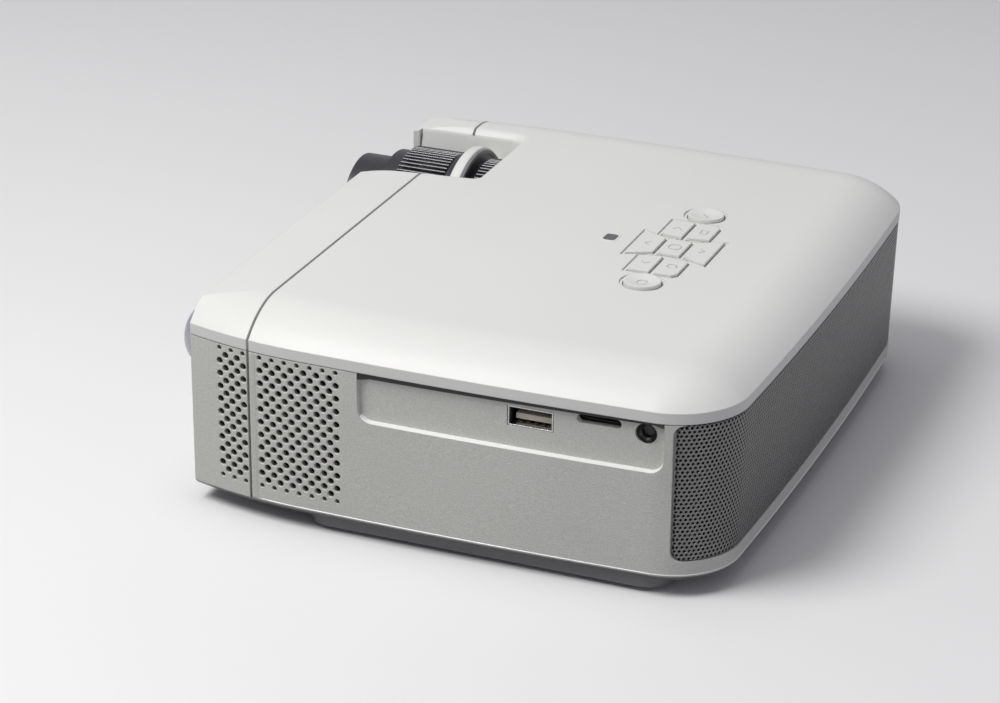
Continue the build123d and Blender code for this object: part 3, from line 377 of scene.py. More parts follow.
def middle_and_half(node):
    """The middle of a CAD node's box, and half its size."""
    low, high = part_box(node)
    return (low + high) / 2, (high - low) / 2


def take_normals(mesh, node, smooth_below):
    """Gives the faces that still lie on a CAD node the node's own smooth shading."""
    mesh.shade_smooth()
    mesh.set_sharp_from_angle(angle=math.radians(smooth_below))
    cad = nodes[node].data
    cad_normals = [corner.vector.copy() for corner in cad.corner_normals]
    normals = [corner.vector.copy() for corner in mesh.corner_normals]
    touching, same_way = 0.02 * MM, 0.998
    for face in mesh.polygons:
        _, normal, index, distance = cad_tree(node).find_nearest(face.center)
        if distance > touching or normal.dot(face.normal) < same_way:
            continue
        loops = list(cad.polygons[index].loop_indices)
        places = [cad.vertices[cad.loops[k].vertex_index].co for k in loops]
        for k in face.loop_indices:
            shares = poly_3d_calc(places, mesh.vertices[mesh.loops[k].vertex_index].co)
            blend = Vector((0, 0, 0))
            for share, loop in zip(shares, loops):
                blend += cad_normals[loop] * share
            if blend.length > 0.5:
                normals[k] = blend.normalized()
    mesh.normals_split_custom_set(normals)


class Recipe(Tree):
    """A geometry node tree with named sizes, used on a mesh that is then turned into a plain mesh."""

    def __init__(self, name, **sizes):
        super().__init__(bpy.data.node_groups.new(name, "GeometryNodeTree"))
        face = self.tree.interface
        face.new_socket("Geometry", in_out="INPUT", socket_type="NodeSocketGeometry")
        face.new_socket("Geometry", in_out="OUTPUT", socket_type="NodeSocketGeometry")
        self.sockets = {}
        for label, value in sizes.items():
            kind = "NodeSocketInt" if isinstance(value, int) else "NodeSocketFloat"
            socket = face.new_socket(label, in_out="INPUT", socket_type=kind)
            socket.default_value = value
            self.sockets[label] = socket.identifier
        self.start = self.node("NodeGroupInput")
        self.end = self.node("NodeGroupOutput")
        self.source = self.start.outputs["Geometry"]

    def size(self, label):
        return self.start.outputs[label]

    def vector(self, x, y, z):
        return self.node("ShaderNodeCombineXYZ", X=x, Y=y, Z=z).outputs[0]

    def place(self):
        """X, Y and Z of the points that the next node works on."""
        position = self.node("GeometryNodeInputPosition").outputs[0]
        return self.node("ShaderNodeSeparateXYZ", Vector=position).outputs

    def grid(self, columns, rows, step_across, step_up):
        """A flat field of points about the origin."""
        return self.node(
            "GeometryNodeMeshGrid", Size_X=self.times(self.minus(columns, 1), step_across),
            Size_Y=self.times(self.minus(rows, 1), step_up), Vertices_X=columns, Vertices_Y=rows,
        ).outputs["Mesh"]

    def cylinder(self, vertices, radius, depth):
        return self.node(
            "GeometryNodeMeshCylinder", Vertices=vertices, Radius=radius, Depth=depth
        ).outputs["Mesh"]

    def moved(self, geometry, **change):
        """The geometry after a Translation or a Rotation."""
        return self.node("GeometryNodeTransform", Geometry=geometry, **change).outputs[0]

    def joined(self, *parts):
        join = self.node("GeometryNodeJoinGeometry")
        for part in parts:
            self.put(join.inputs["Geometry"], part)
        return join.outputs[0]

    def real(self, instances):
        return self.node("GeometryNodeRealizeInstances", Geometry=instances).outputs[0]

    def end_with(self, geometry, slot):
        finish = self.node("GeometryNodeSetMaterial", Geometry=self.real(geometry))
        finish.inputs["Material"].default_value = materials[slot]
        self.put(self.end.inputs["Geometry"], finish.outputs[0])

    def run(self, mesh, **sizes):
        """Applies the tree to a mesh and returns the result as a new plain mesh."""
        work = bpy.data.objects.new("work", mesh)
        bpy.context.collection.objects.link(work)
        modifier = work.modifiers.new("recipe", "NODES")
        modifier.node_group = self.tree
        for label, value in sizes.items():
            modifier[self.sockets[label]] = value
        work_done = work.evaluated_get(bpy.context.evaluated_depsgraph_get())
        result = bpy.data.meshes.new_from_object(work_done)
        bpy.data.objects.remove(work)
        return result


# ---------------------------------------------------------------- vents through the side walls
VENT_PITCH = 4.0 * MM        # between neighbours in a row; every second row lies half a step off
VENT_ROWS = 11
VENT_MIDDLE_Z = 31.3 * MM
HOLE = 0.95 * MM             # radius of a vent hole
FLARE = 0.51 * MM            # how much wider than the hole its flared mouth is
END_ROW_LESS = 0.28          # how much smaller the holes of the first and last rows are


def vent_recipe():
    """Bores a staggered field of flared holes through a side wall, which widen behind its face."""
    recipe = Recipe(
        "vent field", Columns=7, Rows=VENT_ROWS, Pitch=VENT_PITCH, Hole=HOLE, Flare=FLARE,
        Middle_Y=0.0, Middle_Z=VENT_MIDDLE_Z, Side=1.0,
    )
    columns, rows, pitch, side = [recipe.size(label) for label in ("Columns", "Rows", "Pitch", "Side")]
    fields = [
        recipe.grid(recipe.minus(columns, fewer), recipe.minus(rows, fewer), pitch, pitch) for fewer in (0, 1)
    ]
    spots = recipe.joined(*fields)
    across, up, _ = recipe.place()
    last_row = recipe.times(recipe.minus(rows, 1.4), recipe.times(pitch, 0.5))
    is_end = recipe.calculate("GREATER_THAN", recipe.calculate("ABSOLUTE", up), last_row)
    kept_size = recipe.node(
        "GeometryNodeStoreNamedAttribute", {"data_type": "FLOAT", "domain": "POINT"}, Geometry=spots,
        Name="hole_size", Value=recipe.minus(1.0, recipe.times(is_end, END_ROW_LESS)),
    )
    outside = recipe.vector(
        recipe.times(side, OUTSIDE), recipe.plus(across, recipe.size("Middle_Y")),
        recipe.plus(up, recipe.size("Middle_Z")),
    )
    placed = recipe.node("GeometryNodeSetPosition", Geometry=kept_size.outputs[0], Position=outside)
    inward = recipe.vector(recipe.times(side, -1.0), 0.0, 0.0)
    ray = recipe.node(
        "GeometryNodeRaycast", Target_Geometry=recipe.source, Ray_Direction=inward, Ray_Length=OUTSIDE
    )
    on_wall = recipe.node(
        "GeometryNodeSetPosition", Geometry=placed.outputs[0], Position=ray.outputs["Hit Position"]
    )
    hole = recipe.size("Hole")
    bore = recipe.cylinder(18, hole, 14.0 * MM)
    mouth = recipe.node(
        "GeometryNodeMeshCone", Vertices=18, Radius_Top=recipe.plus(hole, recipe.size("Flare")),
        Radius_Bottom=recipe.minus(hole, 0.1 * MM), Depth=1.2 * MM,
    ).outputs["Mesh"]
    hollow = recipe.cylinder(14, recipe.plus(hole, 0.3 * MM), 6.5 * MM)
    cutters = (
        bore,
        recipe.moved(mouth, Translation=(0, 0, -0.55 * MM)),
        recipe.moved(hollow, Translation=(0, 0, -4.0 * MM)),
    )
    boolean = recipe.node(
        "GeometryNodeMeshBoolean", {"operation": "DIFFERENCE", "solver": "MANIFOLD"}, Mesh_1=recipe.source
    )
    turn = recipe.vector(0.0, recipe.times(side, math.pi / 2), 0.0)
    size = recipe.node("GeometryNodeInputNamedAttribute", {"data_type": "FLOAT"}, Name="hole_size").outputs[0]
    for cutter in cutters:
        holes = recipe.node(
            "GeometryNodeInstanceOnPoints", Points=on_wall.outputs[0], Instance=cutter, Rotation=turn,
            Scale=recipe.vector(size, size, 1.0),
        )
        recipe.put(boolean.inputs["Mesh 2"], recipe.real(holes.outputs[0]))
    recipe.end_with(boolean.outputs["Mesh"], "case_side")
    return recipe


vents = vent_recipe()
for node, columns, first_y in (("body_shell", 7, -52.9 * MM), ("front_cap", 3, -66.45 * MM)):
    wall = joined_copy(node)
    middle_y = first_y + (columns - 1) * VENT_PITCH / 2
    for side in (1.0, -1.0):
        wall = vents.run(wall, Columns=columns, Middle_Y=middle_y, Side=side)
    take_normals(wall, node, 30.0)
    add_piece(node + "_vented", wall, "case_side", instead_of=node, smooth_below=0)


# ---------------------------------------------------------------- perforated speaker grille
GRILLE_LOW, GRILLE_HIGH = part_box("speaker_grille")
GRILLE_MIDDLE_Z = (GRILLE_LOW.z + GRILLE_HIGH.z) / 2
GRILLE_TALL = GRILLE_HIGH.z - GRILLE_LOW.z
REAR_CORNER = Vector((74.4 * MM, 58.1 * MM + FRAME_Y, 0))     # middle of the round rear corner
REAR_ROUND = 22.0 * MM
HOLE_PITCH = 1.39 * MM
SHEET_ROUND = 3.4 * MM       # radius of the sheet's corners
SHEET_SPARE = 0.40 * MM      # how far the sheet reaches into the gap round it
SHEET_PROUD = 0.12 * MM      # how far it stands off the CAD sheet
EDGE_ROLL = 0.9 * MM         # radius of its rolled-in edge


def even_path(points, step):
    """The same open path cut into equal short steps, and its length."""
    spans = [0.0]
    for a, b in zip(points, points[1:]):
        spans.append(spans[-1] + (b - a).length)
    count = max(2, round(spans[-1] / step))
    path = []
    place = 0
    for k in range(count + 1):
        want = spans[-1] * k / count
        while place < len(points) - 2 and spans[place + 1] < want:
            place += 1
        share = (want - spans[place]) / (spans[place + 1] - spans[place])
        path.append(points[place].lerp(points[place + 1], share))
    return path, spans[-1]


def grille_outline():
    """Plan outline of the grille's outer face at mid height, from the +X end round the back to the -X end."""
    corner = REAR_CORNER + Vector((0, 0, GRILLE_MIDDLE_Z))
    first = math.asin((GRILLE_LOW.y + 0.05 * MM - corner.y) / REAR_ROUND)
    points = []
    for k in range(41):
        angle = first + (math.pi / 2 - first) * k / 40
        out = Vector((math.cos(angle), math.sin(angle), 0))
        hit = surface_ray("speaker_grille", corner + out * OUTSIDE, -out)
        if hit is not None:
            points.append(hit)
    while points[-1].x >= 1.0 * MM:
        start = (points[-1].x - 1.0 * MM, OUTSIDE, GRILLE_MIDDLE_Z)
        points.append(surface_ray("speaker_grille", start, (0, -1, 0)))
    half = [Vector((point.x, point.y, 0)) for point in points]
    other = [Vector((-point.x, point.y, 0)) for point in reversed(half)]
    return half + other


outline, sheet_long = even_path(grille_outline(), 1.2 * MM)


def on_sheet(along, height, out=0.0):
    """A point of the bent sheet from its distance along the outline and its height."""
    step = sheet_long / (len(outline) - 1)
    place = along / step
    k = min(max(int(place), 0), len(outline) - 2)
    point = outline[k].lerp(outline[k + 1], place - k)
    run = (outline[min(k + 2, len(outline) - 1)] - outline[max(k - 1, 0)]).normalized()
    normal = Vector((run.y, -run.x, 0))
    lean = (height - GRILLE_MIDDLE_Z) * LEAN
    return Vector((point.x, point.y, height)) + normal * (out + lean)


def edge_distance(across, up):
    """How far a place on the flat sheet lies inside its rounded edge."""
    x = abs(across) - sheet_long / 2 - SHEET_SPARE + SHEET_ROUND
    y = abs(up) - GRILLE_TALL / 2 - SHEET_SPARE + SHEET_ROUND
    return SHEET_ROUND - math.hypot(max(x, 0.0), max(y, 0.0)) - min(max(x, y), 0.0)


def rolled_in(distance):
    """Drop of the sheet towards its edge, a quarter round of EDGE_ROLL."""
    over = min(max(EDGE_ROLL - distance, 0.0), EDGE_ROLL * 0.995)
    return EDGE_ROLL - math.sqrt(EDGE_ROLL * EDGE_ROLL - over * over)


def sheet_cell():
    """One hexagon of the sheet with a hexagonal hole, whose wall runs through the sheet."""
    reach = HOLE_PITCH / math.sqrt(3)
    rows = []
    for share, depth in ((1.0, 0.03), (0.62, -0.02), (0.54, -0.12), (0.54, -0.45)):
        radius = reach * share
        angles = [math.radians(60 * k + 30) for k in range(6)]
        rows.append([(radius * math.cos(angle), radius * math.sin(angle), depth * MM) for angle in angles])
    return grid_mesh("sheet cell", rows)


def grille_recipe():
    """Repeats the cell in staggered rows and leaves the sheet's corners round."""
    recipe = Recipe(
        "perforated sheet", Pitch=HOLE_PITCH, Columns=180, Rows=17, Long=0.25, Tall=0.04, Corner=SHEET_ROUND
    )
    pitch, columns, rows, corner = [recipe.size(label) for label in ("Pitch", "Columns", "Rows", "Corner")]
    row_step = recipe.times(pitch, math.sqrt(3) / 2)
    fields = []
    for shift in (0, 1):
        field = recipe.grid(recipe.minus(columns, shift), rows, pitch, recipe.times(row_step, 2.0))
        half_step = recipe.vector(0.0, recipe.times(row_step, shift - 0.5), 0.0)
        fields.append(recipe.moved(field, Translation=half_step))
    spots = recipe.joined(*fields)
    across, up, _ = recipe.place()
    squares = []
    for place, extent in ((across, "Long"), (up, "Tall")):
        inner = recipe.minus(recipe.times(recipe.size(extent), 0.5), corner)
        past = recipe.minus(recipe.calculate("ABSOLUTE", place), inner)
        over = recipe.calculate("MAXIMUM", past, 0.0)
        squares.append(recipe.times(over, over))
    outside = recipe.calculate("GREATER_THAN", recipe.plus(*squares), recipe.times(corner, corner))
    kept = recipe.node(
        "GeometryNodeDeleteGeometry", {"domain": "POINT"}, Geometry=spots, Selection=outside
    )
    cells = recipe.node("GeometryNodeInstanceOnPoints", Points=kept.outputs[0], Instance=recipe.source)
    welded = recipe.node(
        "GeometryNodeMergeByDistance", Geometry=recipe.real(cells.outputs[0]), Distance=0.02 * MM
    )
    recipe.end_with(welded.outputs[0], "grille_metal")
    return recipe


def perforated_sheet():
    """The sheet of cells, laid flat first, then bent round the case with its edge rolled in."""
    long, tall = sheet_long + 2 * SHEET_SPARE, GRILLE_TALL + 2 * SHEET_SPARE
    columns, rows = int(long / HOLE_PITCH), int(tall / (HOLE_PITCH * math.sqrt(3)))
    sheet = grille_recipe().run(sheet_cell(), Columns=columns, Rows=rows, Long=long, Tall=tall)
    for corner in sheet.vertices:
        across, up, depth = corner.co
        drop = rolled_in(edge_distance(across, up))
        corner.co = on_sheet(across + sheet_long / 2, up + GRILLE_MIDDLE_Z, depth - drop + SHEET_PROUD)
    return sheet


def painted_shade_sheet():
    """Dark sheet just behind the perforated sheet: painted shade that keeps its holes dark."""
    levels, steps = 6, 200
    rows = []
    for level in range(levels + 1):
        height = GRILLE_LOW.z + GRILLE_TALL * level / levels
        rows.append([on_sheet(sheet_long * k / steps, height, -0.85 * MM) for k in range(steps + 1)])
    return grid_mesh("shade sheet", rows, wrapped=False)


sheet = perforated_sheet()
add_piece("perforated_grille", sheet, "grille_metal", instead_of="speaker_grille", smooth_below=0)
# A dark sheet behind the holes: painted shade.
add_piece("grille_painted_shade_sheet", painted_shade_sheet(), "cone_paper", smooth_below=40.0)


# ---------------------------------------------------------------- ribbed lens rings
RIBS = 78
RIB = 0.50 * MM              # radius of a rib
RING_BORE = 19.35 * MM


def rib_recipe():
    """Sets rounded ribs side by side round a plain ring."""
    recipe = Recipe(
        "grip ribs", Ribs=RIBS, Radius=0.0216, Rib=RIB, Length=0.016, Axis_X=0.0, Middle_Y=0.0, Axis_Z=0.0
    )
    upright = (math.pi / 2, 0, 0)
    circle = recipe.node("GeometryNodeMeshCircle", Vertices=recipe.size("Ribs"), Radius=recipe.size("Radius"))
    rib = recipe.cylinder(8, recipe.size("Rib"), recipe.size("Length"))
    ribs = recipe.node(
        "GeometryNodeInstanceOnPoints", Points=recipe.moved(circle.outputs["Mesh"], Rotation=upright),
        Instance=recipe.moved(rib, Rotation=upright),
    )
    middle = recipe.vector(*[recipe.size(label) for label in ("Axis_X", "Middle_Y", "Axis_Z")])
    placed = recipe.moved(ribs.outputs[0], Translation=middle)
    recipe.end_with(recipe.joined(recipe.source, placed), "ring_black")
    return recipe


def ribbed_ring(node, ribs):
    """A lens ring with a plain core whose edges are broken, and ribs round it."""
    middle, half = middle_and_half(node)
    outer = half.x
    core, edge = outer - 1.15 * MM, 0.4 * MM
    y0, y1 = middle.y - half.y, middle.y + half.y
    profile = [
        (y0, RING_BORE), (y0, core - edge), (y0 + edge, core), (y1 - edge, core), (y1, core - edge),
        (y1, RING_BORE), (y0, RING_BORE),
    ]
    plain = mesh_of(node + " core", *lathe(profile, middle.x, middle.z))
    return ribs.run(
        plain, Radius=outer - RIB, Length=y1 - y0 - 0.5 * MM,
        Axis_X=middle.x, Middle_Y=middle.y, Axis_Z=middle.z,
    )


ribs = rib_recipe()
for ring in ("focus_ring", "keystone_ring"):
    mesh = ribbed_ring(ring, ribs)
    add_piece(ring + "_ribbed", mesh, "ring_black", node_bodies[ring], instead_of=ring, smooth_below=50.0)


# ---------------------------------------------------------------- marks on the keys
STROKE_WIDE, STROKE_TALL = 0.42 * MM, 0.10 * MM
ROUND_KEY_DISH = 0.68 * MM   # how far the middle of a round key lies below its rim


def stroke_mesh(paths, top):
    """Slim raised strokes with sloped sides along flat paths, all in one mesh."""
    section = ((-1.0, -0.05), (-0.45, 1.0), (0.45, 1.0), (1.0, -0.05))
    points, faces = [], []
    for path, closed in paths:
        count, base, width = len(path), len(points), len(section)
        for k, place in enumerate(path):
            before = path[(k - 1) % count] if closed or k else path[k]
            after = path[(k + 1) % count] if closed or k < count - 1 else path[k]
            run = (Vector(after) - Vector(before)).normalized()
            side = Vector((-run.y, run.x))
            for out, up in section:
                spot = Vector(place) + side * out * STROKE_WIDE / 2
                points.append((spot.x, spot.y, top + up * STROKE_TALL))
        faces += grid_faces(count, width, looped=closed, first=base)
        if not closed:
            faces.append(tuple(range(base, base + width)))
            faces.append(tuple(range(len(points) - 1, len(points) - 1 - width, -1)))
    return mesh_of("strokes", points, faces)


def arc(radius, start, end, steps=24):
    angles = [math.radians(start + (end - start) * k / steps) for k in range(steps + 1)]
    return [(radius * math.cos(angle), radius * math.sin(angle)) for angle in angles]


# Each mark is a few paths from the middle of its key, in millimetres, each open or closed.
key_marks = {
    "key_center": [(arc(1.9, 0, 345, 23), True)],
    "key_front": [([(-1.3, 0.7), (0.0, -0.8), (1.3, 0.7)], False)],
    "key_rear": [([(-1.3, -0.7), (0.0, 0.8), (1.3, -0.7)], False)],
    "key_left_front": [([(0.7, -1.3), (-0.8, 0.0), (0.7, 1.3)], False)],
    "key_left_rear": [([(-1.4, -1.0), (-1.4, 1.0), (1.4, 1.0), (1.4, -1.0)], True)],
    "key_right_front": [([(-0.7, -1.3), (0.8, 0.0), (-0.7, 1.3)], False)],
    "key_right_rear": [(arc(1.4, 60, 360), False)],
    "key_round_left": [([(-1.1, -1.1), (1.1, 1.1)], False)],
    "key_round_right": [(arc(1.6, 120, 420), False), ([(0.0, 0.7), (0.0, 2.1)], False)],
}
for key, paths in key_marks.items():
    middle, half = middle_and_half(key)
    top = middle.z + half.z
    if key.startswith("key_round"):
        top -= ROUND_KEY_DISH
    placed = [([(middle.x + x * MM, middle.y + y * MM) for x, y in path], closed) for path, closed in paths]
    # The marks take a darker finish, the painted shade of an engraving.
    add_piece(key + "_mark", stroke_mesh(placed, top), "key_white", node_bodies[key], finish="key_mark_shade")


# ---------------------------------------------------------------- trims on the socket side
RECESS_DEEP = 1.6 * MM
RECESS_ROUND = 4.0 * MM
RECESS_START, RECESS_END = -22.25 * MM, 67.45 * MM
RECESS_FLOOR, RECESS_TOP = 37.7 * MM, 52.8 * MM
LIP_WIDE = 0.45 * MM


def recess_edge(inset, steps=8):
    """Path (y, z) from low in the recess's front corner, along its lower edge and up its rear end."""
    radius = RECESS_ROUND - inset
    front, rear = RECESS_START + RECESS_ROUND, RECESS_END - RECESS_ROUND
    floor = RECESS_FLOOR + inset
    middle_z = floor + radius
    turns = [math.pi / 2 * k / steps for k in range(steps + 1)]
    path = [(front - radius * math.cos(turn), middle_z - radius * math.sin(turn)) for turn in turns[3:]]
    path += [(front + (rear - front) * k / 30, floor) for k in range(1, 30)]
    path += [(rear + radius * math.sin(turn), middle_z - radius * math.cos(turn)) for turn in turns]
    climb = RECESS_TOP - 0.4 * MM - middle_z
    path += [(RECESS_END - inset, middle_z + climb * k / 4) for k in range(1, 5)]
    return path


def recess_lip():
    """Sloping lip that leads from the side's face down to the recess floor."""
    clear_of_recess = 1.5 * MM
    sections = []
    for outer, inner in zip(recess_edge(0.0), recess_edge(LIP_WIDE)):
        beside = math.copysign(clear_of_recess, outer[0])
        face = side_x(outer[0] + beside, RECESS_FLOOR - clear_of_recess) + (outer[1] - RECESS_FLOOR) * LEAN
        brow = [place * 0.7 + inward * 0.3 for place, inward in zip(outer, inner)]
        sections.append([
            (face - 0.04 * MM, *outer), (face - 0.30 * MM, *brow),
            (face - RECESS_DEEP + 0.05 * MM, *inner), (face - RECESS_DEEP - 0.30 * MM, *outer),
        ])
    return strip_mesh(sections)


def recess_face(y, z):
    """X of the recess floor, taken low down where no socket opens."""
    low = RECESS_FLOOR + 2.0 * MM
    return side_x(y, low) + (z - low) * LEAN


def painted_overhang_shade():
    """Black strip at the top of the recess: painted shade under the lid's overhang, slimmer towards the rear.
    """
    start, end, steps = RECESS_START + 0.2 * MM, RECESS_END - 0.2 * MM, 30
    tall_front, tall_rear = 2.10 * MM, 1.35 * MM
    sections = []
    for k in range(steps + 1):
        y = start + (end - start) * k / steps
        low = RECESS_TOP - tall_front + (tall_front - tall_rear) * k / steps
        face = recess_face(y, RECESS_TOP) + 0.05 * MM
        back = face - 0.35 * MM
        sections.append([(face, y, low), (face, y, RECESS_TOP), (back, y, RECESS_TOP), (back, y, low)])
    return strip_mesh(sections)


def seam_strip(side):
    """Slim raised edge of the rear shell beside the seam."""
    front, wide, proud, buried = -56.2 * MM, 2.1 * MM, 0.12 * MM, -0.3 * MM
    low, high, steps = 6.9 * MM, 52.3 * MM, 24
    shell_front, shell_top = -55.9 * MM, 52.0 * MM
    outline = (
        (front, buried), (front, proud), (front + wide - 0.25 * MM, proud), (front + wide, -0.02 * MM),
        (front + wide, buried),
    )
    sections = []
    for k in range(steps + 1):
        z = low + (high - low) * k / steps
        section = []
        for y, out in outline:
            face = side_x(max(y, shell_front), min(z, shell_top))
            section.append((side * (face + out), y, z))
        sections.append(section)
    return strip_mesh(sections)


# The lip takes a lighter finish: a painted highlight along the recess's lower edge.
add_piece("recess_lip", recess_lip(), "case_side", smooth_below=35.0, finish="painted_highlight_edge")
# A black strip: painted shade under the lid's overhang.
add_piece("recess_painted_shade", painted_overhang_shade(), "socket_black")
for side, label in ((1, "near"), (-1, "far")):
    add_piece("seam_strip_" + label, seam_strip(side), "case_side")


# ---------------------------------------------------------------- sockets
usb, usb_half = middle_and_half("usb_shell")
USB_FRONT = usb.x + usb_half.x
jack_low, jack_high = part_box("audio_jack")
JACK_INSET = 3.6 * MM        # from the top and the rear of the headphone socket to the middle of its mouth
JACK_X, JACK_Y, JACK_Z = jack_high.x, jack_high.y - JACK_INSET, jack_high.z - JACK_INSET


def usb_block(back, front, across, up, half_wide, half_tall, chamfer=0.0):
    """A block in the USB socket, in millimetres: depths behind its mouth, then place and half size."""
    middle = Vector((0, usb.y + across * MM, usb.z + up * MM))
    half = Vector((0, half_wide * MM, half_tall * MM))
    low, high = middle - half, middle + half
    low.x, high.x = USB_FRONT - back * MM, USB_FRONT - front * MM
    return block(low, high, chamfer * MM)


def usb_back_and_shade_plates():
    """Black moulded block at the back of the socket, and thin black plates on the inside of its metal shell,
    which are painted shade.
    """
    parts = [usb_block(12.3, 10.9, 0, 0, 6.15, 2.45, 0.1)]
    # Thin black plates on the shell's sides and top: painted shade inside the socket.
    for across, up, half_wide, half_tall in (
        (6.15, 0, 0.05, 2.4), (-6.15, 0, 0.05, 2.4), (0, 2.47, 6.1, 0.05)
    ):
        parts.append(usb_block(12.3, 1.0, across, up, half_wide, half_tall))
    return join_meshes(parts)


def usb_contacts():
    """Four contacts under the tongue."""
    return join_meshes([usb_block(9.0, 3.2, (k - 1.5) * 2.2, -1.875, 0.5, 0.075) for k in range(4)])


def lathe_x(profile, x, y, z, steps):
    """Turns (x, radius) pairs round an axis along X through a place."""
    points, faces = lathe(profile, 0.0, 0.0, steps)
    return [(x + along, y + across, z + up) for across, along, up in points], faces


def jack_barrel():
    """Round mouth of the headphone socket, dished towards a bore for a 3.5 mm plug."""
    profile = (
        (-4.0, 3.0), (-1.2, 3.0), (-1.1, 2.9), (-1.1, 2.75), (-1.7, 2.55), (-2.1, 2.1), (-2.4, 1.8),
        (-13.9, 1.8), (-14.0, 0.3), (-14.0, 0.01),
    )
    scaled = [(depth * MM, radius * MM) for depth, radius in profile]
    return mesh_of("barrel", *lathe_x(scaled, JACK_X, JACK_Y, JACK_Z, 40))


def jack_collar():
    """Sloping rim that lines the headphone socket's hole in the recess."""
    radius, wide, deep = 2.95 * MM, 0.45 * MM, 1.4 * MM
    face = side_x(JACK_Y, JACK_Z - 4.5 * MM)
    profile = [
        (0.03 * MM, radius + wide), (0.0, radius + wide * 0.9), (-0.5 * MM, radius),
        (-deep, radius - 0.02 * MM), (-deep, radius + wide), (0.03 * MM, radius + wide),
    ]
    return mesh_of("collar", *lathe_x(profile, face, JACK_Y, JACK_Z, 48))


jack_back = block(jack_low, (JACK_X - 3.3 * MM, jack_high.y, jack_high.z), 0.3 * MM)
# The black plates inside the shell are painted shade; the block at the back is the socket's own plastic.
add_piece("usb_block", usb_back_and_shade_plates(), "socket_black", instead_of="usb_tongue")
add_piece("usb_tongue_nose", usb_block(11.5, 2.7, 0, -0.975, 5.3, 0.875, 0.25), "socket_tongue")
add_piece("usb_contacts", usb_contacts(), "insert_brass")
add_piece("jack_barrel", jack_barrel(), "socket_black", instead_of="audio_jack", smooth_below=35.0)
add_piece("jack_block", jack_back, "socket_black")
add_piece("jack_collar", jack_collar(), "case_side", smooth_below=40.0)


# ---------------------------------------------------------------- arch over the lens rings
focus, _ = middle_and_half("focus_ring")
arch_low, arch_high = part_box("lens_bridge")
ARCH_FRONT, ARCH_REAR = arch_low.y / MM, arch_high.y / MM
ARCH_OUT = 24.0 * MM         # radius where the arch meets the trough's walls


def arch(profile, steps=48):
    """Sweeps (y, radius) pairs, in millimetres, round the lens axis from one trough wall to the other."""
    left, right = [math.acos((x - focus.x) / ARCH_OUT) for x in (arch_low.x, arch_high.x)]
    sections = []
    for k in range(steps + 1):
        angle = left + (right - left) * k / steps
        across, up = math.cos(angle) * MM, math.sin(angle) * MM
        sections.append([(focus.x + radius * across, y * MM, focus.z + radius * up) for y, radius in profile])
    return strip_mesh(sections)


def arch_band(front, rear):
    """White band with a rounded front edge."""
    return arch([
        (front, 22.6), (front, 24.0), (front + 0.5, 24.5), (front + 1.0, 24.6), (rear - 0.5, 24.6),
        (rear - 0.2, 24.5), (rear, 24.1), (rear, 22.6),
    ])


def arch_rim(front, rear):
    """Grey rim on the band's rear edge, with its outer and inner edges broken."""
    return arch([
        (front, 22.5), (front, 23.9), (rear - 0.15, 23.9), (rear, 23.75), (rear, 22.65), (rear - 0.1, 22.5)
    ])


def arch_shade_wall(front, rear):
    """Dark wall under the arch, down to the sleeve between the two rings: painted shade that hides the lit
    trough wall behind it.
    """
    inner, outer = 19.6, 23.0
    return arch([(front, inner), (front, outer), (rear, outer), (rear, inner)])


def trough_liner():
    """Thin strip that carries the trough's far wall across the seam between the two lid halves."""
    low, tall, steps, seam_y = 53.2 * MM, 8.9 * MM, 10, -57.0 * MM
    proud, sunk = 0.08 * MM, -0.02 * MM
    rows = []
    for k in range(steps + 1):
        z = low + tall * k / steps
        row = []
        for y, out in ((-59.0 * MM, sunk), (-58.2 * MM, proud), (-55.9 * MM, proud), (-55.1 * MM, sunk)):
            lid = "lid_front" if y < seam_y else "lid_main"
            row.append((surface_ray(lid, (focus.x, y, z), (-1, 0, 0)).x + out, y, z))
        rows.append(row)
    return grid_mesh("liner", rows, wrapped=False)


band, rim = arch_band(ARCH_FRONT, ARCH_REAR - 2.2), arch_rim(ARCH_REAR - 2.4, ARCH_REAR - 1.5)
add_piece("lens_arch", band, "lid_white", instead_of="lens_bridge", smooth_below=35.0)
add_piece("lens_arch_rim", rim, "lid_white", smooth_below=35.0, finish="arch_grey")
# A black wall under the arch: painted shade.
add_piece("lens_arch_shade_wall", arch_shade_wall(ARCH_REAR - 2.3, ARCH_REAR - 1.7), "lens_black")
add_piece("trough_liner", trough_liner(), "lid_white")


# ---------------------------------------------------------------- receiver dome
CAD_DOME_RISE, DOME_RISE = 3.0 * MM, 6.5 * MM
NECK_OUT, NECK_IN = 7.4 * MM, 6.2 * MM


def receiver_dome():
    """Clear bulging cover of the remote receiver, half an ellipsoid with a short neck through the front."""
    low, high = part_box("receiver_window")
    middle = (low + high) / 2
    front, radius = low.y + CAD_DOME_RISE, (high.x - low.x) / 2
    hollow = DOME_RISE - 1.2 * MM
    turns = [math.pi / 2 * k / 14 for k in range(15)]
    outer = [(front - DOME_RISE * math.cos(turn), radius * math.sin(turn)) for turn in turns]
    inner = [(front - hollow * math.cos(turn), NECK_IN * math.sin(turn)) for turn in reversed(turns)]
    neck = [(front, NECK_OUT), (high.y, NECK_OUT), (high.y, NECK_IN)]
    return mesh_of("dome", *lathe(outer + neck + inner, middle.x, middle.z, 64), weld=0.001 * MM)


add_piece(
    "receiver_dome", receiver_dome(), "window_clear", instead_of="receiver_window", smooth_below=40.0
)


# ---------------------------------------------------------------- small trims
def rounded_ring(centre, half_long, half_wide, radius, steps=8):
    """Points (x, y) round a rectangle with rounded corners."""
    path = []
    for quarter, (sign_x, sign_y) in enumerate(((1, 1), (-1, 1), (-1, -1), (1, -1))):
        corner_x = centre.x + sign_x * (half_long - radius)
        corner_y = centre.y + sign_y * (half_wide - radius)
        for k in range(steps + 1):
            angle = math.pi / 2 * (quarter + k / steps)
            path.append((corner_x + radius * math.cos(angle), corner_y + radius * math.sin(angle)))
    return path


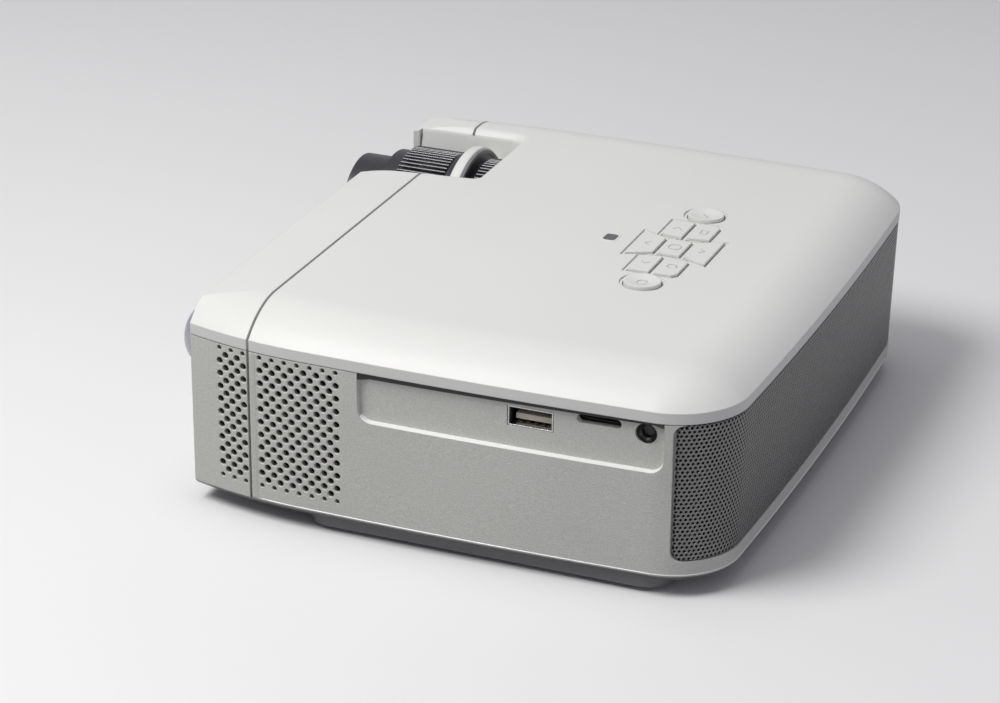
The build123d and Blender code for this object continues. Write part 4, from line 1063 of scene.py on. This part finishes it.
def window_surround():
    """Slim surround that gives the dark window on the lid its rounded corners."""
    middle, half = middle_and_half("top_window")
    beside = middle.x + 5.0 * MM
    section = (
        (0.80, 1.8, -0.10), (0.65, 1.7, 0.10), (0.25, 1.4, 0.13),
        (0.0, 1.2, 0.02), (0.0, 1.2, -0.6), (0.80, 1.8, -0.6),
    )
    rows = []
    for spread, radius, lift in section:
        row = []
        for x, y in rounded_ring(middle, half.x + spread * MM, half.y + spread * MM, radius * MM):
            lid_top = surface_ray("lid_main", (beside, y, OUTSIDE), (0, 0, -1)).z
            row.append((x, y, lid_top + lift * MM))
        rows.append(row)
    return grid_mesh("surround", rows, looped=True)


def rim_path(height):
    """Places along the case's lower edge, from the seam round the rear, each with its outward direction."""
    corner = REAR_CORNER + Vector((0, 0, height))
    start = -53.0 * MM
    spots = []
    for k in range(41):
        y = start + (corner.y - start) * k / 40
        spots.append((Vector((side_x(y, height), y, height)), Vector((1, 0, 0))))
    for k in range(1, 25):
        angle = math.pi / 2 * k / 24
        out = Vector((math.cos(angle), math.sin(angle), 0))
        spots.append((surface_ray("body_shell", corner + out * OUTSIDE, -out), out))
    for k in range(1, 31):
        x = corner.x - 2 * corner.x * k / 30
        hit = surface_ray("body_shell", (x, OUTSIDE, height), (0, -1, 0))
        spots.append((hit, Vector((0, 1, 0))))
    return spots


def rim_bead():
    """Fine bead along the lower edge of the socket side and round the rear."""
    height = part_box("body_shell")[0].z + 0.55 * MM
    section = ((-0.2, -0.2), (0.12, -0.15), (0.14, 0.02), (0.01, 0.14), (-0.2, 0.16))
    return strip_mesh([
        [place + out * proud * MM + Vector((0, 0, up * MM)) for proud, up in section]
        for place, out in rim_path(height)
    ])


def screw_recess_shade():
    """Dark crosses on the heads of the four case screws, seen from below: painted shade in place of their
    cross recesses.
    """
    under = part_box("case_screws")[0].z
    rims = [corner.co for corner in nodes["case_screws"].data.vertices if corner.co.z < under + 0.01 * MM]
    parts = []
    for sign_x, sign_y in ((1, 1), (1, -1), (-1, 1), (-1, -1)):
        rim = [place for place in rims if place.x * sign_x > 0 and place.y * sign_y > 0]
        x = (min(place.x for place in rim) + max(place.x for place in rim)) / 2
        y = (min(place.y for place in rim) + max(place.y for place in rim)) / 2
        for long, wide in ((1.5 * MM, 0.28 * MM), (0.28 * MM, 1.5 * MM)):
            low, high = (x - long, y - wide, under - 0.03 * MM), (x + long, y + wide, under + 0.2 * MM)
            parts.append(block(low, high))
    return join_meshes(parts)


add_piece("top_window_surround", window_surround(), "lid_white")
# The bead takes a lighter finish: a painted highlight along the case's lower edge.
add_piece("rim_bead", rim_bead(), "case_side", finish="painted_highlight_edge")
# Dark crosses on the screw heads: painted shade of their recesses.
add_piece("case_screw_recess_shade", screw_recess_shade(), "fan_plastic")


# ---------------------------------------------------------------- floor and world
def seen_directly(tree):
    """A factor of 1 for rays from the camera, from gloss and through glass, and 0 for other rays' light."""
    rays = tree.node("ShaderNodeLightPath").outputs
    seen = tree.calculate("MAXIMUM", rays["Is Camera Ray"], rays["Is Glossy Ray"])
    return tree.calculate("MAXIMUM", seen, rays["Is Transmission Ray"])


def floor_paper():
    """Pale paper as the camera and gloss see it, with less light thrown back on the object's sides."""
    shader = Shader("floor paper")
    pale = shader.ramp(shader.noise(3.0), grey(0.84), grey(0.87))
    paper = shader.mix("MIX", seen_directly(shader), (0.30, 0.30, 0.31, 1), pale)
    shader.set(Base_Color=paper, Roughness=0.85)
    return shader.material


bpy.ops.mesh.primitive_plane_add(size=8.0, location=(0, 0, 0))
floor = bpy.context.object
floor.name = "floor"
floor.data.materials.append(floor_paper())

WORLD_LIGHT, WORLD_SEEN = 0.29, 0.60      # strengths: as light on the object, and as a background
world = bpy.data.worlds.new("studio")
bpy.context.scene.world = world
world.use_nodes = True
world.node_tree.nodes.clear()
sky = Tree(world.node_tree)
strength = sky.node("ShaderNodeMapRange", Value=seen_directly(sky), To_Min=WORLD_LIGHT, To_Max=WORLD_SEEN)
background = sky.node(
    "ShaderNodeBackground", Color=(0.84, 0.84, 0.90, 1), Strength=strength.outputs["Result"]
)
sky.node("ShaderNodeOutputWorld", Surface=background.outputs["Background"])


# ---------------------------------------------------------------- lamps and camera
def area_lamp(name, place, aim, size, power, colour=(1, 1, 1)):
    data = bpy.data.lights.new(name, "AREA")
    data.shape = "DISK"
    data.size = size
    data.energy = power
    data.color = colour
    lamp = bpy.data.objects.new(name, data)
    lamp.location = place
    lamp.rotation_euler = (Vector(aim) - Vector(place)).to_track_quat("-Z", "Y").to_euler()
    bpy.context.collection.objects.link(lamp)


area_lamp("key", (0.44, -0.36, 0.86), (0, 0, 0.03), 0.5, 7.0, (1.0, 0.995, 0.98))
area_lamp("top", (0.0, -0.1, 1.3), (0, 0, 0), 0.9, 2.4)
area_lamp("rear fill", (0.45, 1.05, 0.22), (0, 0, 0.03), 0.35, 1.1, (0.88, 0.85, 1.0))

# The eye, the way it looks and its lens were solved from the edges of the case in the photograph.
EYE = Vector((847.02, 315.06, 415.93)) * MM
LOOK = Vector((-0.853784, -0.335734, -0.397914))
UP = Vector((-0.364705, -0.159751, 0.917317))
camera_data = bpy.data.cameras.new("camera")
camera_data.lens = 116.716
camera_data.sensor_width = 36.0
camera_data.clip_start = 0.05
camera = bpy.data.objects.new("camera", camera_data)
turn = Matrix((LOOK.cross(UP), UP, -LOOK)).transposed()
camera.matrix_world = Matrix.Translation(EYE) @ turn.to_4x4()
bpy.context.collection.objects.link(camera)
bpy.context.scene.camera = camera
bpy.context.scene.view_settings.view_transform = "Standard"


def corners(box):
    return [list(corner) for corner in box]
